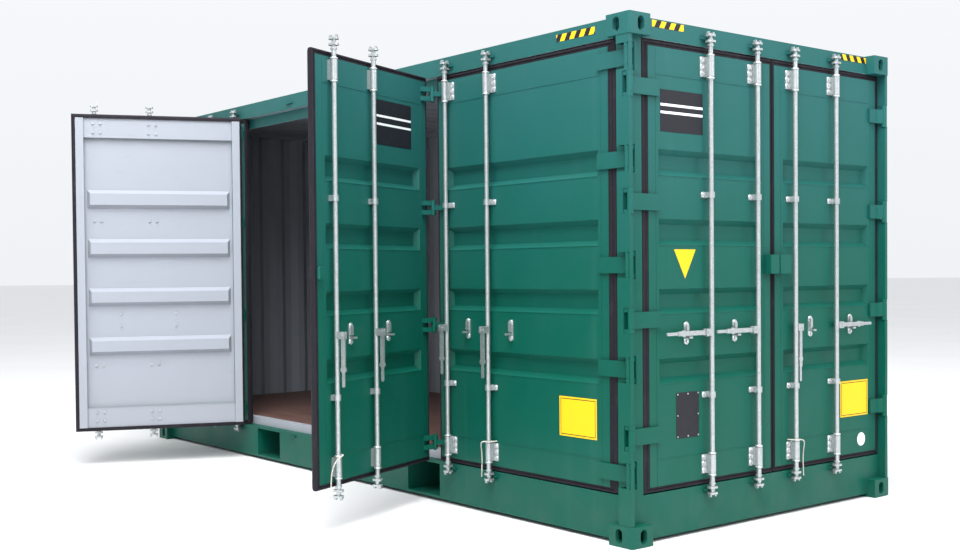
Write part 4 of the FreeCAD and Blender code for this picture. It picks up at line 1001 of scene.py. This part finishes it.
class CONTAINER_OT_ropes(bpy.types.Operator):
    """Limp ropes that hang beside the lock rods"""
    bl_idname = "container.ropes"
    bl_label = "Ropes"

    def execute(self, context):
        for name, number in ROPES:
            leaf = LEAVES[name]
            x = leaf["rods"][number]
            points = [leaf["matrix"] @ Vector((x - leaf["flange"] * across, -out, z))
                      for across, out, z in ROPE_ROUTE]
            line = self.line_of(context, name, points)
            self.lay_strands(name, leaf, line, points[0])
        return {"FINISHED"}

    def line_of(self, context, name, points):
        """Points along the smooth line of one route."""
        curve = bpy.data.curves.new(name + "_route", "CURVE")
        curve.dimensions = "3D"
        curve.resolution_u = 36
        spline = curve.splines.new("NURBS")
        spline.points.add(len(points) - 1)
        for place, point in zip(points, spline.points):
            point.co = (*place, 1.0)
        spline.order_u = 3
        spline.use_endpoint_u = True
        holder = bpy.data.objects.new(name + "_route", curve)
        context.scene.collection.objects.link(holder)
        context.view_layer.update()
        mesh = bpy.data.meshes.new_from_object(holder.evaluated_get(context.evaluated_depsgraph_get()))
        line = [vert.co.copy() for vert in mesh.vertices]
        bpy.data.objects.remove(holder)
        return line

    def lay_strands(self, name, leaf, line, start):
        """Three strands twisted round the line, as one mesh tube."""
        strand_r = ROPE_DIAMETER / ROPE_PER_STRAND
        offset = ROPE_DIAMETER / 2 - strand_r
        steps = len(line)
        bm = bmesh.new()
        for strand in range(STRANDS):
            rings = []
            side = None
            for i, centre in enumerate(line):
                along = (line[min(i + 1, steps - 1)] - line[max(i - 1, 0)]).normalized()
                guess = side if side is not None else along.orthogonal()
                side = (guess - along * guess.dot(along)).normalized()
                turn = math.tau * (STRAND_TURNS * i / (steps - 1) + strand / STRANDS)
                out = Matrix.Rotation(turn, 3, along) @ side
                facing = Matrix((side, along.cross(side), along)).transposed().to_4x4()
                frame_at = Matrix.Translation(centre + out * offset) @ facing
                ring = bmesh.ops.create_circle(bm, segments=STRAND_SIDES, radius=strand_r,
                                               matrix=frame_at)["verts"]
                rings.append(list({edge for vert in ring for edge in vert.link_edges}))
            for first, second in zip(rings, rings[1:]):
                bmesh.ops.bridge_loops(bm, edges=first + second)
            for end in (rings[0], rings[-1]):
                bmesh.ops.contextual_create(bm, geom=end)
        rope = make_piece(name + "_rope", bm, material("rope", rope_fibre), leaf["body"],
                          smooth=True, replaces=[name + "_tie_rope"])


# ---------------------------------------------------------------------------
# Doorway trim
# ---------------------------------------------------------------------------
WELD_R, WELD_BEVEL = 0.004, 0.0015
CASTING_LENGTH, CASTING_WIDTH = 0.178, 0.162
CATCH_Z = 1.5075
CATCH_BOXES = (
    # x low and x high from the leaf's edge, y front, y back, half height, bevel
    (-0.024, 0.020, -0.034, -0.020, 0.0375, 0.003),
    (-0.006, 0.020, -0.022, 0.001, 0.0275, 0.002),
)


class CONTAINER_OT_trim(bpy.types.Operator):
    """Weld beads beside the corner castings, and a hold-back catch"""
    bl_idname = "container.trim"
    bl_label = "Trim"

    def execute(self, context):
        self.casting_welds()
        self.catches()
        return {"FINISHED"}

    def casting_welds(self):
        """Upright beads where the sills and headers meet the corner castings."""
        low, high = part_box("bottom_corner_castings")
        foot = (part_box("door_sill")[0].z, high.z)
        head = (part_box("top_corner_castings")[0].z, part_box("door_header")[1].z)
        end_faces = (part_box("closed_end_sill")[0].x, END_FACE)
        side_faces = (SIDE_FACE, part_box("rear_top_rail")[1].y)
        bm = bmesh.new()
        for z0, z1 in (foot, head):
            for x in (low.x + CASTING_LENGTH, high.x - CASTING_LENGTH):
                for y in side_faces:
                    add_box(bm, x - WELD_R, x + WELD_R, y - WELD_R / 2, y + WELD_R / 2, z0, z1,
                            bevel=WELD_BEVEL)
            for y in (low.y + CASTING_WIDTH, high.y - CASTING_WIDTH):
                for x in end_faces:
                    add_box(bm, x - WELD_R / 2, x + WELD_R / 2, y - WELD_R, y + WELD_R, z0, z1,
                            bevel=WELD_BEVEL)
        make_piece("casting_welds", bm, green(), "root")

    def catches(self):
        """Small hold-back catch on the folded near leaf's free edge: a plate on a block."""
        leaf = LEAVES["side_leaf_2"]
        bm = bmesh.new()
        for left, right, front, back, half_tall, bevel in CATCH_BOXES:
            add_box(bm, leaf["x0"] + left, leaf["x0"] + right, front, back, CATCH_Z - half_tall,
                    CATCH_Z + half_tall, leaf["matrix"], bevel=bevel)
        make_piece("side_leaf_2_catch", bm, green(), "root")


PIECES = (
    (CONTAINER_OT_stage, "stage"),
    (CONTAINER_OT_paint, "paint"),
    (CONTAINER_OT_seals, "seals"),
    (CONTAINER_OT_seams, "seams"),
    (CONTAINER_OT_bolts, "bolts"),
    (CONTAINER_OT_collars, "collars"),
    (CONTAINER_OT_plates, "plates"),
    (CONTAINER_OT_stripes, "stripes"),
    (CONTAINER_OT_ropes, "ropes"),
    (CONTAINER_OT_trim, "trim"),
)


class CONTAINER_PT_panel(bpy.types.Panel):
    """Lists the pieces of the container"""
    bl_idname = "CONTAINER_PT_panel"
    bl_label = "Container"
    bl_space_type = "VIEW_3D"
    bl_region_type = "UI"
    bl_category = "Container"

    def draw(self, context):
        column = self.layout.column()
        for operator, _ in PIECES:
            column.operator(operator.bl_idname)
        for group in (context.scene.container_colours, context.scene.container_sizes):
            for key in group.__annotations__:
                column.prop(group, key)


CLASSES = (ContainerColours, ContainerSizes, *(operator for operator, _ in PIECES), CONTAINER_PT_panel)


def register():
    for item in CLASSES:
        bpy.utils.register_class(item)
    bpy.types.Scene.container_colours = bpy.props.PointerProperty(type=ContainerColours)
    bpy.types.Scene.container_sizes = bpy.props.PointerProperty(type=ContainerSizes)


def unregister():
    del bpy.types.Scene.container_colours
    del bpy.types.Scene.container_sizes
    for item in reversed(CLASSES):
        bpy.utils.unregister_class(item)


def main():
    register()
    for _, key in PIECES:
        require(getattr(bpy.ops.container, key)() == {"FINISHED"}, key + " did not finish")


if __name__ == "__main__":
    main()
